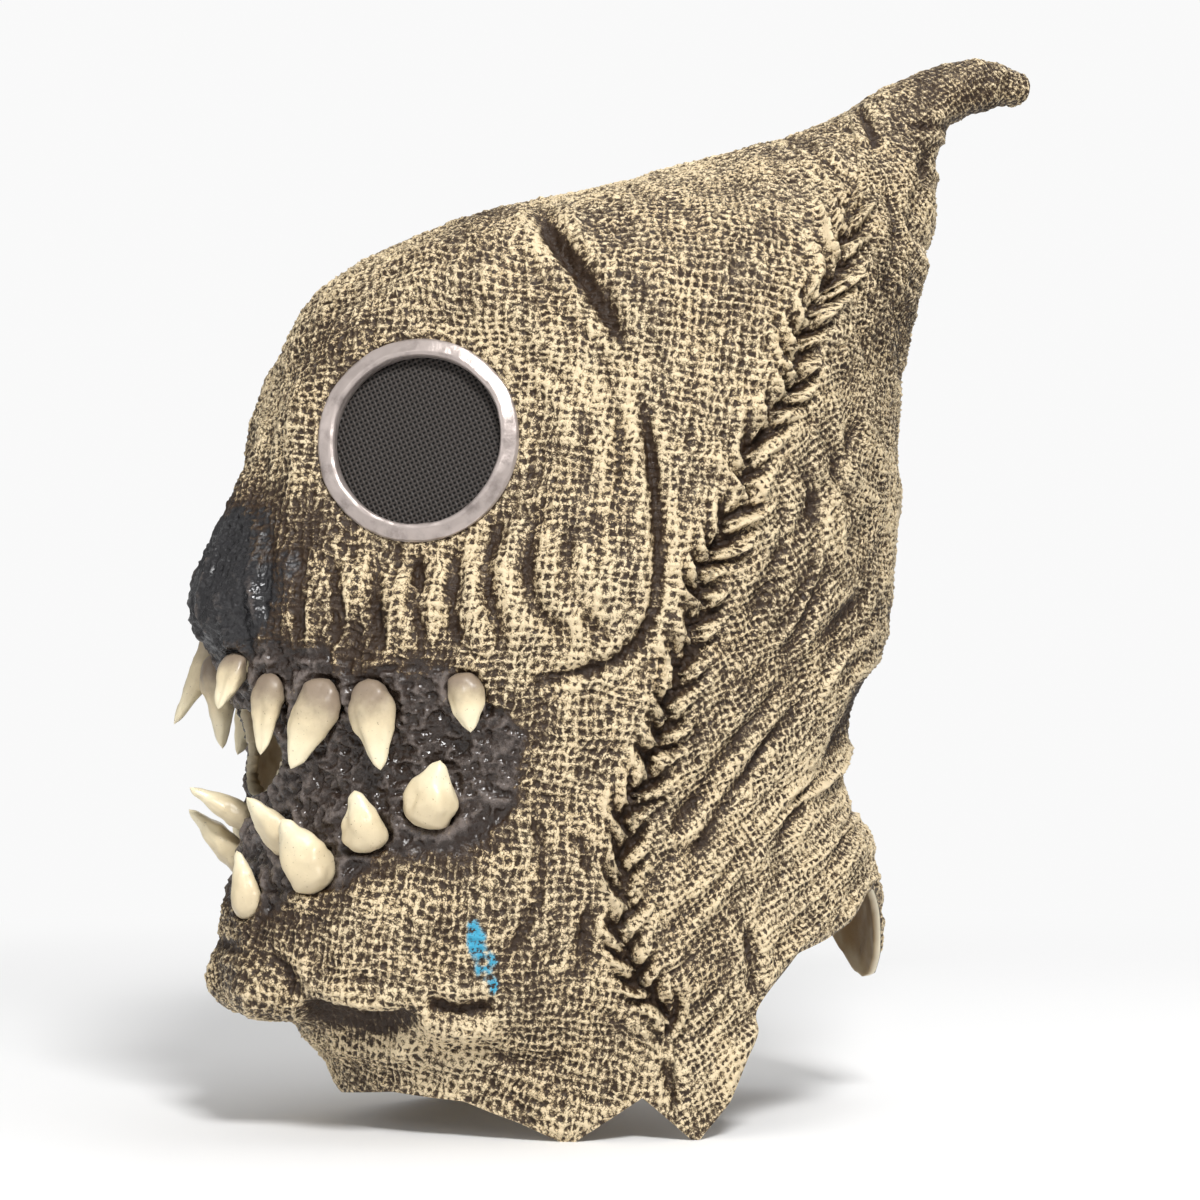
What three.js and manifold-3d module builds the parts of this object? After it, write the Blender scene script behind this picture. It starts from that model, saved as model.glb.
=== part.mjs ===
// A full-head latex sack mask: a thin cast hood with a curled tip, round eye screens behind bezel rings,
// and two rows of hard cast fangs whose studs are glued through the hood. Millimetres, +Z up, the face
// looks along -Y, and the wearer's left is +X. The origin is under the middle of the mask, on the surface
// that it stands on.
import * as THREE from "three";
import { mergeVertices } from "three/addons/utils/BufferGeometryUtils.js";
import Module from "manifold-3d";

const wasm = await Module();
wasm.setup();

// ---- Driving dimensions ----
const maskHeight = 434; // lowest hem point to the top of the curled tip
const maskLength = 357; // front of the muzzle to the end of the tip
const maskWidth = 211; // over the widest place, at the ears
const wall = 3; // cast latex
const gap = 0.3; // clearance between pieces that touch

const screenRadius = 32.5; // clear view through one eye ring
const ringBand = 6.8; // width of the ring's visible face
const ringRise = 3; // how far the ring stands off the latex
const sleeveWall = 2.4; // ring's sleeve, which lines the hole in the latex
const screenThickness = 0.8;
const screenLap = 3.5; // how far the screen reaches past the hole, behind the latex
const beadWidth = 3; // glue bead round the screen's edge
const beadRise = 1.6; // glue over the back of the screen
const seatFlat = 4; // flat latex outside the bead
const seatBlend = 20; // width over which the flat seat fades into the face
const seatSink = 3; // how far the flat seat is pressed into the face

const mouthWidth = 52;
const mouthHeight = 34;
const mouthLevel = 148; // drawn height of its middle
const mouthDepth = 60; // how far the cut reaches behind the front of the muzzle

const studRadius = 2.6; // stud on the back of each tooth
const studEnd = 1.2; // stud past the inside of the latex
const studBite = 3.5; // stud inside the tooth

const groundTrim = 2.5; // the hem is drawn this far below the surface, then cut level for its feet

// ---- Outline of the hood ----
// The outline is drawn at these sizes and stretched to the driving ones.
const drawn = { height: 434, length: 357, width: 211 };
const stretch = new THREE.Vector3(
  maskWidth / drawn.width,
  maskLength / drawn.length,
  maskHeight / drawn.height,
);

// Cross-sections from below the hem to the end of the tip: [front y, front z, back y, back z, half width,
// taper]. Each runs from its front point to its back point, and taper narrows its front half (a negative
// taper widens it).
const stations = [
  [-84, -12, 142, -12, 84, 0.1],
  [-92, 8, 140, 8, 86, 0.1],
  [-99, 26, 138, 26, 86, 0.08],
  [-108, 40, 136, 40, 87, 0.02],
  [-131, 50, 134, 50, 88, -0.04],
  [-138, 66, 133, 66, 90, -0.08],
  [-139, 86, 131, 86, 92, -0.1],
  [-134, 108, 126, 108, 94, -0.1],
  [-130, 132, 115, 132, 96, -0.08],
  [-131, 156, 117, 156, 99, -0.04],
  [-142, 180, 128, 180, 101, 0.06],
  [-148, 204, 133, 204, 102, 0.2],
  [-143, 230, 136, 230, 103, 0.3],
  [-131, 260, 138, 258, 103, 0.32],
  [-122, 286, 139, 282, 102, 0.3],
  [-112, 314, 140, 300, 100, 0.24],
  [-95, 334, 142, 313, 96, 0.16],
  [-66, 350, 145, 325, 89, 0.08],
  [-30, 363, 149, 337, 80, 0.04],
  [6, 372, 152, 348, 69, 0],
  [40, 381, 155, 359, 57, 0],
  [72, 391, 157, 370, 45, 0],
  [100, 399, 159, 381, 34, 0],
  [122, 409, 161, 392, 25, 0],
  [142, 421, 166, 402, 18, 0],
  [163, 430, 175, 410, 13.5, 0],
  [184, 434, 189, 415, 11, 0],
  [200, 431, 201, 417.5, 8.5, 0],
];
const tipEnd = [206, 425];
const widestShare = 0.56; // the widest place of a section, as a share of it from the front

// Height of the hem above the surface against the angle round the head, in degrees from the front. The
// front and side points reach the surface, the neck is arched between them, and the back has one point.
const hemLine = [
  [0, 13],
  [25, 17],
  [42, 15],
  [52, 7],
  [59, -2.5],
  [61, -2.5],
  [67, 7],
  [75, 17],
  [82, -2.5],
  [83, -2.5],
  [90, 14],
  [97, 32],
  [103, 45],
  [110, 58],
  [117, 70],
  [125, 74],
  [135, 80],
  [145, 90],
  [152, 91],
  [160, 80],
  [168, 62],
  [175, 53],
  [180, 51],
];

// Sculpted lumps, the same on both sides: centre, reach and push.
const lumps = [
  { at: [20, -134, 60], reach: 17, push: [3, -5, -5] }, // chin lobe
  { at: [0, -150, 208], reach: 22, push: [0, -3, 0] }, // nose
  { at: [88, -8, 211], reach: 34, push: [5, 0, 0] }, // cheek
  { at: [62, -72, 146], reach: 34, push: [-6, 3, 0] }, // hollow between the rows of teeth
  { at: [52, -70, 334], reach: 24, push: [3, -3, 4] }, // brow
  { at: [72, -30, 88], reach: 28, push: [5, -2, 0] }, // jaw corner
];

// ---- Eyes ----
const eye = { around: 46, height: 269, facing: 60, lift: 7 }; // degrees, and mm at the drawn height

// ---- Teeth ----
// Each tooth: degrees round the head and drawn height of its stud, length, width, lean in degrees from
// straight down (up for the lower row) towards the back, and splay away from the latex.
const leftUpper = [
  [10, 181, 24, 13, 0, 44],
  [18, 171, 32, 14, -4, 28],
  [30, 168, 37, 18, -26, 20],
  [41, 168, 35, 17, 8, 14],
  [58, 174, 23, 14, 6, 12],
];
const rightUpper = [
  [11, 176, 38, 18, 4, 16],
  [20, 189, 50, 16, -4, 34],
  [32, 169, 36, 17, -20, 18],
  [43, 167, 34, 17, 8, 14],
  [58, 174, 25, 14, 6, 12],
];
const leftLower = [
  [10, 92, 27, 14, -14, 16],
  [27, 105, 31, 20, -28, 18],
  [38, 119, 24, 17, -14, 12],
  [50, 129, 27, 20, 14, 10],
  [17, 117, 28, 14, -30, 36],
];
const rightLower = [
  [14, 107, 35, 17, -10, 52],
  [7, 122, 33, 14, -10, 66],
  [31, 100, 30, 19, -20, 16],
  [43, 117, 25, 17, -16, 12],
  [54, 128, 27, 20, 12, 10],
];
const toothThickness = 0.72; // of its width
const toothBack = 0.3; // share of the tooth's length behind its stud
const toothSink = 0.35; // share of its thickness below the surface of the latex, where it is cut to fit
const toothCurl = 0.1; // bend of the tip, as a share of the length

// ---- Facets ----
const columns = 48;
const lowRows = 10; // hem to shoulderStation
const shoulderStation = 8;
const highRows = 22; // shoulderStation to the tip
const ringSides = 36;

const toRadians = THREE.MathUtils.degToRad;

// ---- The hood's surface ----
const smoothBetween = (values, at) => {
  const i = Math.min(Math.floor(at), values.length - 2);
  const t = at - i;
  const [a, b, c, d] = [i - 1, i, i + 1, i + 2].map(
    (k) => values[THREE.MathUtils.clamp(k, 0, values.length - 1)],
  );
  return (
    b +
    0.5 * t * (c - a + t * (2 * a - 5 * b + 4 * c - d + t * (3 * (b - c) + d - a)))
  );
};
const stationColumns = stations[0].map((_, k) => stations.map((s) => s[k]));
const topStation = stations.length - 1;

// A point of the section at station `up`, `around` radians from the front, at the drawn size.
function sectionPoint(around, up) {
  const [frontY, frontZ, backY, backZ, half, taper] = stationColumns.map((values) =>
    smoothBetween(values, up),
  );
  const toFront = Math.cos(around);
  const reach = toFront > 0 ? widestShare : 1 - widestShare;
  const along = widestShare - toFront * reach;
  const narrowing = 1 - taper * Math.max(0, toFront) ** 2;
  return new THREE.Vector3(
    half * Math.sin(around) * narrowing,
    THREE.MathUtils.lerp(frontY, backY, along),
    THREE.MathUtils.lerp(frontZ, backZ, along),
  );
}

function sculpt(point) {
  const moved = point.clone();
  for (const side of [1, -1])
    for (const { at, reach, push } of lumps) {
      const centre = new THREE.Vector3(side * at[0], at[1], at[2]);
      const share = Math.exp(-point.distanceToSquared(centre) / reach ** 2);
      moved.add(new THREE.Vector3(side * push[0], push[1], push[2]).multiplyScalar(share));
    }
  return moved;
}

// The station whose front and back lie at a drawn height, for the level sections below the eyes.
function stationAtHeight(height) {
  const at = stations.findIndex((s, i) => i && s[1] > height);
  let [low, high] = [at - 1, at];
  for (let i = 0; i < 30; i++) {
    const middle = (low + high) / 2;
    if (smoothBetween(stationColumns[1], middle) < height) low = middle;
    else high = middle;
  }
  return low;
}

const bareSurface = (around, up) => sculpt(sectionPoint(around, up)).multiply(stretch);

// ---- Eye seats ----
const holeRadius = screenRadius + sleeveWall + gap;
const screenOuter = holeRadius + screenLap;
const seatRadius = screenOuter + gap + beadWidth + seatFlat;

// The plane of one eye: its centre on the face, and its outward normal.
function eyeSeat(side) {
  const centre = bareSurface(side * toRadians(eye.around), stationAtHeight(eye.height));
  const [facing, lift] = [toRadians(eye.facing), toRadians(eye.lift)];
  const normal = new THREE.Vector3(
    side * Math.sin(facing) * Math.cos(lift),
    -Math.cos(facing) * Math.cos(lift),
    Math.sin(lift),
  );
  return { centre: centre.addScaledVector(normal, -seatSink), normal };
}
const seats = { left: eyeSeat(1), right: eyeSeat(-1) };

function flattenSeats(point) {
  const { centre, normal } = point.x > 0 ? seats.left : seats.right;
  const offset = point.clone().sub(centre);
  const height = offset.dot(normal);
  const radius = offset.addScaledVector(normal, -height).length();
  const inFront = THREE.MathUtils.smoothstep(point.dot(normal), 0, seatBlend);
  const share = 1 - THREE.MathUtils.smoothstep(radius, seatRadius, seatRadius + seatBlend);
  return point.clone().addScaledVector(normal, -height * share * inFront);
}

const surface = (around, up) => flattenSeats(bareSurface(around, up));

function surfaceNormal(around, up) {
  const step = 0.02;
  const high = Math.min(up + step, topStation);
  const across = surface(around + step, up).sub(surface(around - step, up));
  const upward = surface(around, high).sub(surface(around, high - 2 * step));
  return across.cross(upward).normalize();
}

// ---- Hem ----
function hemHeight(around) {
  const degrees = Math.abs(THREE.MathUtils.radToDeg(around));
  const at = hemLine.findIndex(([angle], i) => i && angle >= degrees - 1e-6);
  const [[a, low], [b, high]] = [hemLine[at - 1], hemLine[at]];
  return THREE.MathUtils.mapLinear(degrees, a, b, low, high);
}

// ---- Closed meshes from rings of points ----
// Rings of `columns` points each, from bottom to top, then a point that closes the top.
function skinRings(offset) {
  const rings = [];
  const angles = Array.from({ length: columns }, (_, j) => {
    const turn = (2 * Math.PI * j) / columns;
    return turn > Math.PI ? turn - 2 * Math.PI : turn;
  });
  const offsetPoint = (around, up) =>
    surface(around, up).addScaledVector(surfaceNormal(around, up), offset);
  for (let i = 0; i < lowRows; i++)
    rings.push(
      angles.map((around) => {
        const hem = stationAtHeight(hemHeight(around));
        return offsetPoint(around, THREE.MathUtils.lerp(hem, shoulderStation, i / lowRows));
      }),
    );
  for (let i = 0; i <= highRows; i++) {
    const up = THREE.MathUtils.lerp(shoulderStation, topStation, i / highRows);
    rings.push(angles.map((around) => offsetPoint(around, up)));
  }
  const top = new THREE.Vector3(0, ...tipEnd).multiply(stretch);
  const lastMiddle = rings.at(-1).reduce((sum, p) => sum.add(p), new THREE.Vector3());
  lastMiddle.divideScalar(columns);
  const outward = top.clone().sub(lastMiddle).normalize();
  return { rings, pole: top.addScaledVector(outward, offset) };
}

function joinRings(triangles, lower, upper) {
  lower.forEach((point, j) => {
    const next = (j + 1) % lower.length;
    triangles.push(point, lower[next], upper[next], point, upper[next], upper[j]);
  });
}

function capRing(triangles, ring, pole) {
  ring.forEach((point, j) => triangles.push(point, ring[(j + 1) % ring.length], pole));
}

function coatTriangles({ rings, pole }) {
  const triangles = [];
  rings.slice(1).forEach((ring, i) => joinRings(triangles, rings[i], ring));
  capRing(triangles, rings.at(-1), pole);
  return triangles;
}

const geometryOf = (points) => new THREE.BufferGeometry().setFromPoints(points);
const turnedOver = (points) => points.toReversed();

// ---- Solids ----
function solidOf(geometry) {
  const bare = new THREE.BufferGeometry();
  const plain = geometry.index ? geometry.toNonIndexed() : geometry;
  bare.setAttribute("position", plain.getAttribute("position"));
  const merged = mergeVertices(bare, 1e-4);
  return new wasm.Manifold(
    new wasm.Mesh({
      numProp: 3,
      vertProperties: new Float32Array(merged.attributes.position.array),
      triVerts: new Uint32Array(merged.index.array),
    }),
  );
}

function geometryFrom(solid) {
  const mesh = solid.getMesh();
  const geometry = new THREE.BufferGeometry();
  geometry.setAttribute("position", new THREE.BufferAttribute(mesh.vertProperties, 3));
  geometry.setIndex(new THREE.BufferAttribute(mesh.triVerts, 1));
  geometry.computeVertexNormals();
  return geometry;
}

const placedSolid = (geometry, placement) =>
  solidOf(geometry.clone().applyMatrix4(placement));

// Turns +Y to `axis` and moves the origin to `position`.
function alongAxis(position, axis) {
  const turn = new THREE.Quaternion().setFromUnitVectors(new THREE.Vector3(0, 1, 0), axis);
  return new THREE.Matrix4().compose(position, turn, new THREE.Vector3(1, 1, 1));
}

// ---- Materials ----
const finish = (color, roughness, metalness = 0) =>
  new THREE.MeshStandardMaterial({ color, roughness, metalness });
const latex = finish(0x8f7c5a, 0.75);
const silver = finish(0xb4aca6, 0.4, 0.6);
const blackMesh = finish(0x1d1c1d, 0.8);
const enamel = finish(0xe2d5b4, 0.35);
const glue = finish(0xcdb98a, 0.5);

const mask = new THREE.Group();

function addPiece(name, geometry, material, placement = new THREE.Matrix4()) {
  const mesh = new THREE.Mesh(geometry, material);
  mesh.name = name;
  placement.decompose(mesh.position, mesh.quaternion, mesh.scale);
  mask.add(mesh);
}

// ---- Teeth ----
// A teardrop along +Y: its fat root behind the stud, its tip ahead, flattened in z and curled towards +z.
function toothGeometry(length, width) {
  const shape = [
    [0, 0],
    [0.5, 0.04],
    [0.86, 0.14],
    [1, 0.32],
    [0.86, 0.52],
    [0.56, 0.74],
    [0.27, 0.92],
    [0, 1],
  ];
  const profile = shape.map(
    ([r, along]) => new THREE.Vector2((r * width) / 2, (along - toothBack) * length),
  );
  const geometry = new THREE.LatheGeometry(profile, 10);
  const points = geometry.getAttribute("position");
  for (let i = 0; i < points.count; i++) {
    const ahead = Math.max(0, points.getY(i) / length);
    points.setZ(i, points.getZ(i) * toothThickness + toothCurl * length * ahead ** 2);
  }
  return geometry;
}

// Where one tooth sits: its stud's placement, and its own, with +Y along the tooth and +Z off the latex.
function toothSeat([degrees, height, drawnLength, drawnWidth, lean, splay], side, hang) {
  const [length, width] = [drawnLength * stretch.z, drawnWidth * stretch.x];
  const around = side * toRadians(degrees);
  const up = stationAtHeight(height);
  const position = surface(around, up);
  const normal = surfaceNormal(around, up);
  const upright = new THREE.Vector3(0, 0, hang).projectOnPlane(normal).normalize();
  const along = upright
    .clone()
    .applyAxisAngle(normal, -side * hang * toRadians(lean))
    .normalize();
  const out = normal.clone();
  const hinge = along.clone().cross(normal).normalize();
  along.applyAxisAngle(hinge, toRadians(splay));
  out.applyAxisAngle(hinge, toRadians(splay));
  const rise = width * toothThickness * (0.5 - toothSink);
  const turn = new THREE.Matrix4().makeBasis(along.clone().cross(out), along, out);
  const placement = turn.setPosition(position.clone().addScaledVector(normal, rise));
  return { placement, stud: alongAxis(position, normal), length, width };
}

function studGeometry(radius, bite) {
  const inner = wall + studEnd;
  return new THREE.CylinderGeometry(radius, radius, inner + bite, 12).translate(
    0,
    (bite - inner) / 2,
    0,
  );
}

// The tooth with its stud, cut to lie on the latex, in the tooth's own frame.
function toothSolid({ placement, stud, length, width }, envelope) {
  const back = placement.clone().invert();
  const body = solidOf(toothGeometry(length, width)).subtract(
    envelope.transform(back.elements),
  );
  const peg = placedSolid(studGeometry(studRadius, studBite), back.clone().multiply(stud));
  return body.add(peg);
}

function addTeeth(envelope) {
  const rows = [
    ["upper", "left", leftUpper, 1, -1],
    ["upper", "right", rightUpper, -1, -1],
    ["lower", "left", leftLower, 1, 1],
    ["lower", "right", rightLower, -1, 1],
  ];
  const holes = [];
  for (const [row, sideName, teeth, side, hang] of rows)
    teeth.forEach((tooth, i) => {
      const seat = toothSeat(tooth, side, hang);
      const solid = toothSolid(seat, envelope);
      addPiece(`tooth_${row}_${sideName}_${i + 1}`, geometryFrom(solid), enamel, seat.placement);
      const hole = studGeometry(studRadius + gap, studBite);
      holes.push(placedSolid(hole, seat.stud));
    });
  return holes;
}

// ---- Eye pieces ----
// A ring turned about +Y from its section's corners, which close on themselves.
function turned(corners) {
  const profile = [...corners, corners[0]].map(([r, y]) => new THREE.Vector2(r, y));
  return new THREE.LatheGeometry(profile, ringSides);
}

const ringOuter = screenRadius + ringBand;
const screenFront = -wall - gap;
const screenBack = screenFront - screenThickness;

function bezelGeometry() {
  const sleeve = screenRadius + sleeveWall;
  const bevel = ringRise / 3;
  return turned([
    [screenRadius, -wall],
    [sleeve, -wall],
    [sleeve, gap],
    [ringOuter, gap],
    [ringOuter, ringRise - bevel],
    [ringOuter - bevel, ringRise],
    [screenRadius + bevel, ringRise],
    [screenRadius, ringRise - bevel],
  ]);
}

function screenGeometry() {
  return new THREE.CylinderGeometry(screenOuter, screenOuter, screenThickness, ringSides).translate(
    0,
    (screenFront + screenBack) / 2,
    0,
  );
}

function beadGeometry() {
  const inside = screenOuter + gap;
  const outside = inside + beadWidth;
  return turned([
    [inside - beadWidth, screenBack - gap - beadRise],
    [outside, screenBack - gap - beadRise],
    [outside, screenFront],
    [inside, screenFront],
    [inside, screenBack - gap],
    [inside - beadWidth, screenBack - gap],
  ]);
}

const disc = (radius, low, high) =>
  new THREE.CylinderGeometry(radius, radius, high - low, ringSides).translate(0, (low + high) / 2, 0);

// Adds the pieces of both eyes. Returns the flat washers of latex that they sit on, and the cuts that
// make each washer's faces and its hole true.
function addEyes() {
  const washers = [];
  const cuts = [];
  for (const [side, { centre, normal }] of Object.entries(seats)) {
    const placement = alongAxis(centre, normal);
    addPiece(`eye_ring_${side}`, bezelGeometry(), silver, placement);
    addPiece(`eye_screen_${side}`, screenGeometry(), blackMesh, placement);
    addPiece(`eye_screen_glue_${side}`, beadGeometry(), glue, placement);
    const beadOuter = screenOuter + gap + beadWidth;
    washers.push(placedSolid(disc(beadOuter + wall, -wall, 0), placement));
    cuts.push(
      placedSolid(disc(beadOuter + gap, -3 * wall, -wall), placement),
      placedSolid(disc(ringOuter + gap, 0, 2 * wall), placement),
      placedSolid(disc(holeRadius, -2 * wall, wall), placement),
    );
  }
  return { washers, cuts };
}

// ---- The hood ----
function mouthCut() {
  const front = surface(0, stationAtHeight(mouthLevel));
  const cut = new THREE.CylinderGeometry(1, 1, mouthDepth * 2, 32);
  cut.scale(mouthWidth / 2, 1, mouthHeight / 2);
  return solidOf(cut.translate(0, front.y, front.z));
}

function groundCut() {
  const [wide, deep] = [2 * maskWidth, 2 * maskLength];
  const slab = new THREE.BoxGeometry(wide, deep, 10 * groundTrim);
  return solidOf(slab.translate(0, 0, -5 * groundTrim));
}

// The hood's outside as a solid lump, a clearance larger, which the teeth are cut to lie on.
function hoodEnvelope() {
  const coat = skinRings(gap);
  const triangles = coatTriangles(coat);
  const bottom = coat.rings[0];
  const middle = bottom.reduce((sum, p) => sum.add(p), new THREE.Vector3());
  capRing(triangles, bottom.toReversed(), middle.divideScalar(columns));
  return solidOf(geometryOf(triangles));
}

function hoodSolid(washers, cuts) {
  const outer = skinRings(0);
  const inner = skinRings(-wall);
  const rim = [];
  joinRings(rim, inner.rings[0], outer.rings[0]);
  const shell = solidOf(
    geometryOf([...coatTriangles(outer), ...turnedOver(coatTriangles(inner)), ...rim]),
  );
  const seated = washers.reduce((solid, washer) => solid.add(washer), shell);
  return cuts.reduce((solid, cut) => solid.subtract(cut), seated);
}

const eyes = addEyes();
const studHoles = addTeeth(hoodEnvelope());
const hood = hoodSolid(eyes.washers, [groundCut(), mouthCut(), ...eyes.cuts, ...studHoles]);
addPiece("latex_hood", geometryFrom(hood), latex);

// The origin goes under the middle of the mask's box.
const box = new THREE.Box3().setFromObject(mask, true);
const middle = box.getCenter(new THREE.Vector3());
mask.position.set(-middle.x, -middle.y, -box.min.z);

export default mask;
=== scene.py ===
"""Dresses a full-head latex sack mask: its woven hood, stitched seams, screened eyes and fangs.

The hood's outline, the eyes' seats and the teeth's places repeat the dimensions of the CAD source, in
millimetres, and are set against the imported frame. Everything that Blender keeps is in metres.
"""

from __future__ import annotations

import logging
import math
from dataclasses import dataclass, field
from enum import Enum

import bmesh
import bpy
import numpy as np
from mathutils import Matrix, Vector

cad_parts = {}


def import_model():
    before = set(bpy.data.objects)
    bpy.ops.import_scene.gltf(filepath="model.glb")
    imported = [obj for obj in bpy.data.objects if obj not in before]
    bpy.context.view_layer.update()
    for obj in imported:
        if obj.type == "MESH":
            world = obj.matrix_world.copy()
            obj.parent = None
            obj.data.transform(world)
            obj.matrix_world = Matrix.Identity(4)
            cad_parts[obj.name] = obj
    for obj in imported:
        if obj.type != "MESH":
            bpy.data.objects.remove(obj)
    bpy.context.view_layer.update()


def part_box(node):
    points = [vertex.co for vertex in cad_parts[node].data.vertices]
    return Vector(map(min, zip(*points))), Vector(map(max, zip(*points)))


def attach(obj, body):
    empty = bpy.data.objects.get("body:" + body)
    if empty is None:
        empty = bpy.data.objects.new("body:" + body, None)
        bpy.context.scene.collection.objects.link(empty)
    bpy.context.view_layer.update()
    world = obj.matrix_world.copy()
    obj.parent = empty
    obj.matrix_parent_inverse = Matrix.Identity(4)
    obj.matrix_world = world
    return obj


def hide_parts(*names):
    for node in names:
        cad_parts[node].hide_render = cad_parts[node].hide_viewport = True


LOG = logging.getLogger("mask")
MM = 0.001
TURN = 2.0 * math.pi
BODY = "root"
Array = np.ndarray


class Side(Enum):
    """The wearer's sides, as signs of X."""

    LEFT = 1
    RIGHT = -1


class Row(Enum):
    """The rows of teeth, as the way that they point along Z."""

    UPPER = -1
    LOWER = 1


def smoothstep(values: Array, low: float, high: float) -> Array:
    """Eases values from 0 at low to 1 at high.

    Args:
        values: Any array.
        low: Where the result leaves 0.
        high: Where the result reaches 1. It may be below low.

    Returns:
        An array of the same shape, from 0 to 1.
    """
    t = np.clip((values - low) / (high - low), 0.0, 1.0)
    return t * t * (3.0 - 2.0 * t)


def bell(values: Array, width: float) -> Array:
    """Returns a bell curve of the values, 1 at 0 and 0.37 at the width."""
    return np.exp(-((values / width) ** 2))


def unit(vectors: Array) -> Array:
    """Returns the vectors at a length of 1."""
    return vectors / np.maximum(np.linalg.norm(vectors, axis=-1, keepdims=True), 1e-9)


def off_axis(points: Array, centre: Array, normal: Array) -> tuple[Array, Array]:
    """Returns how far points lie along an axis, and their offsets square to it."""
    offset = points - centre
    height = offset @ normal
    return height, offset - height[:, None] * normal


def smooth_rows(table: Array, at: Array) -> Array:
    """Reads a table between its rows on a smooth curve.

    Args:
        table: Rows of values.
        at: Row numbers, with fractions.

    Returns:
        One row of values for each place.
    """
    last = len(table) - 1
    i = np.clip(np.floor(at).astype(int), 0, last - 1)
    t = (at - i)[:, None]
    a, b, c, d = (table[np.clip(i + k, 0, last)] for k in (-1, 0, 1, 2))
    return b + 0.5 * t * (c - a + t * (2 * a - 5 * b + 4 * c - d + t * (3 * (b - c) + d - a)))


class Grain:
    """Smooth seeded noise in space."""

    CELLS = 64

    def __init__(self, seed: int) -> None:
        """Fills the lattice.

        Args:
            seed: Fixes the noise, so that each run gives the same mask.
        """
        shape = (self.CELLS,) * 3
        self.lattice = np.random.default_rng(seed).random(shape, dtype=np.float32) * 2.0 - 1.0

    def at(self, points: Array, size: float) -> Array:
        """Reads the noise.

        Args:
            points: Places in millimetres, one per row.
            size: Distance between lumps, in millimetres.

        Returns:
            Values from -1 to 1.
        """
        scaled = points / size + 100.0
        cell = np.floor(scaled).astype(int)
        t = scaled - cell
        t = t * t * (3.0 - 2.0 * t)
        total = np.zeros(len(points))
        for corner in range(8):
            step = [(corner >> axis) & 1 for axis in range(3)]
            weight = np.ones(len(points))
            for axis in range(3):
                weight = weight * (t[:, axis] if step[axis] else 1.0 - t[:, axis])
            index = (cell + step) % self.CELLS
            total += weight * self.lattice[index[:, 0], index[:, 1], index[:, 2]]
        return total

    def layers(self, points: Array, size: float, count: int = 3) -> Array:
        """Adds finer and finer noise, each layer at half the size and half the strength."""
        return sum(self.at(points + 31.0 * k, size / 2**k) / 2**k for k in range(count))


GRAIN = Grain(7)


# ---------------------------------------------------------------- the hood's smooth form


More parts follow.
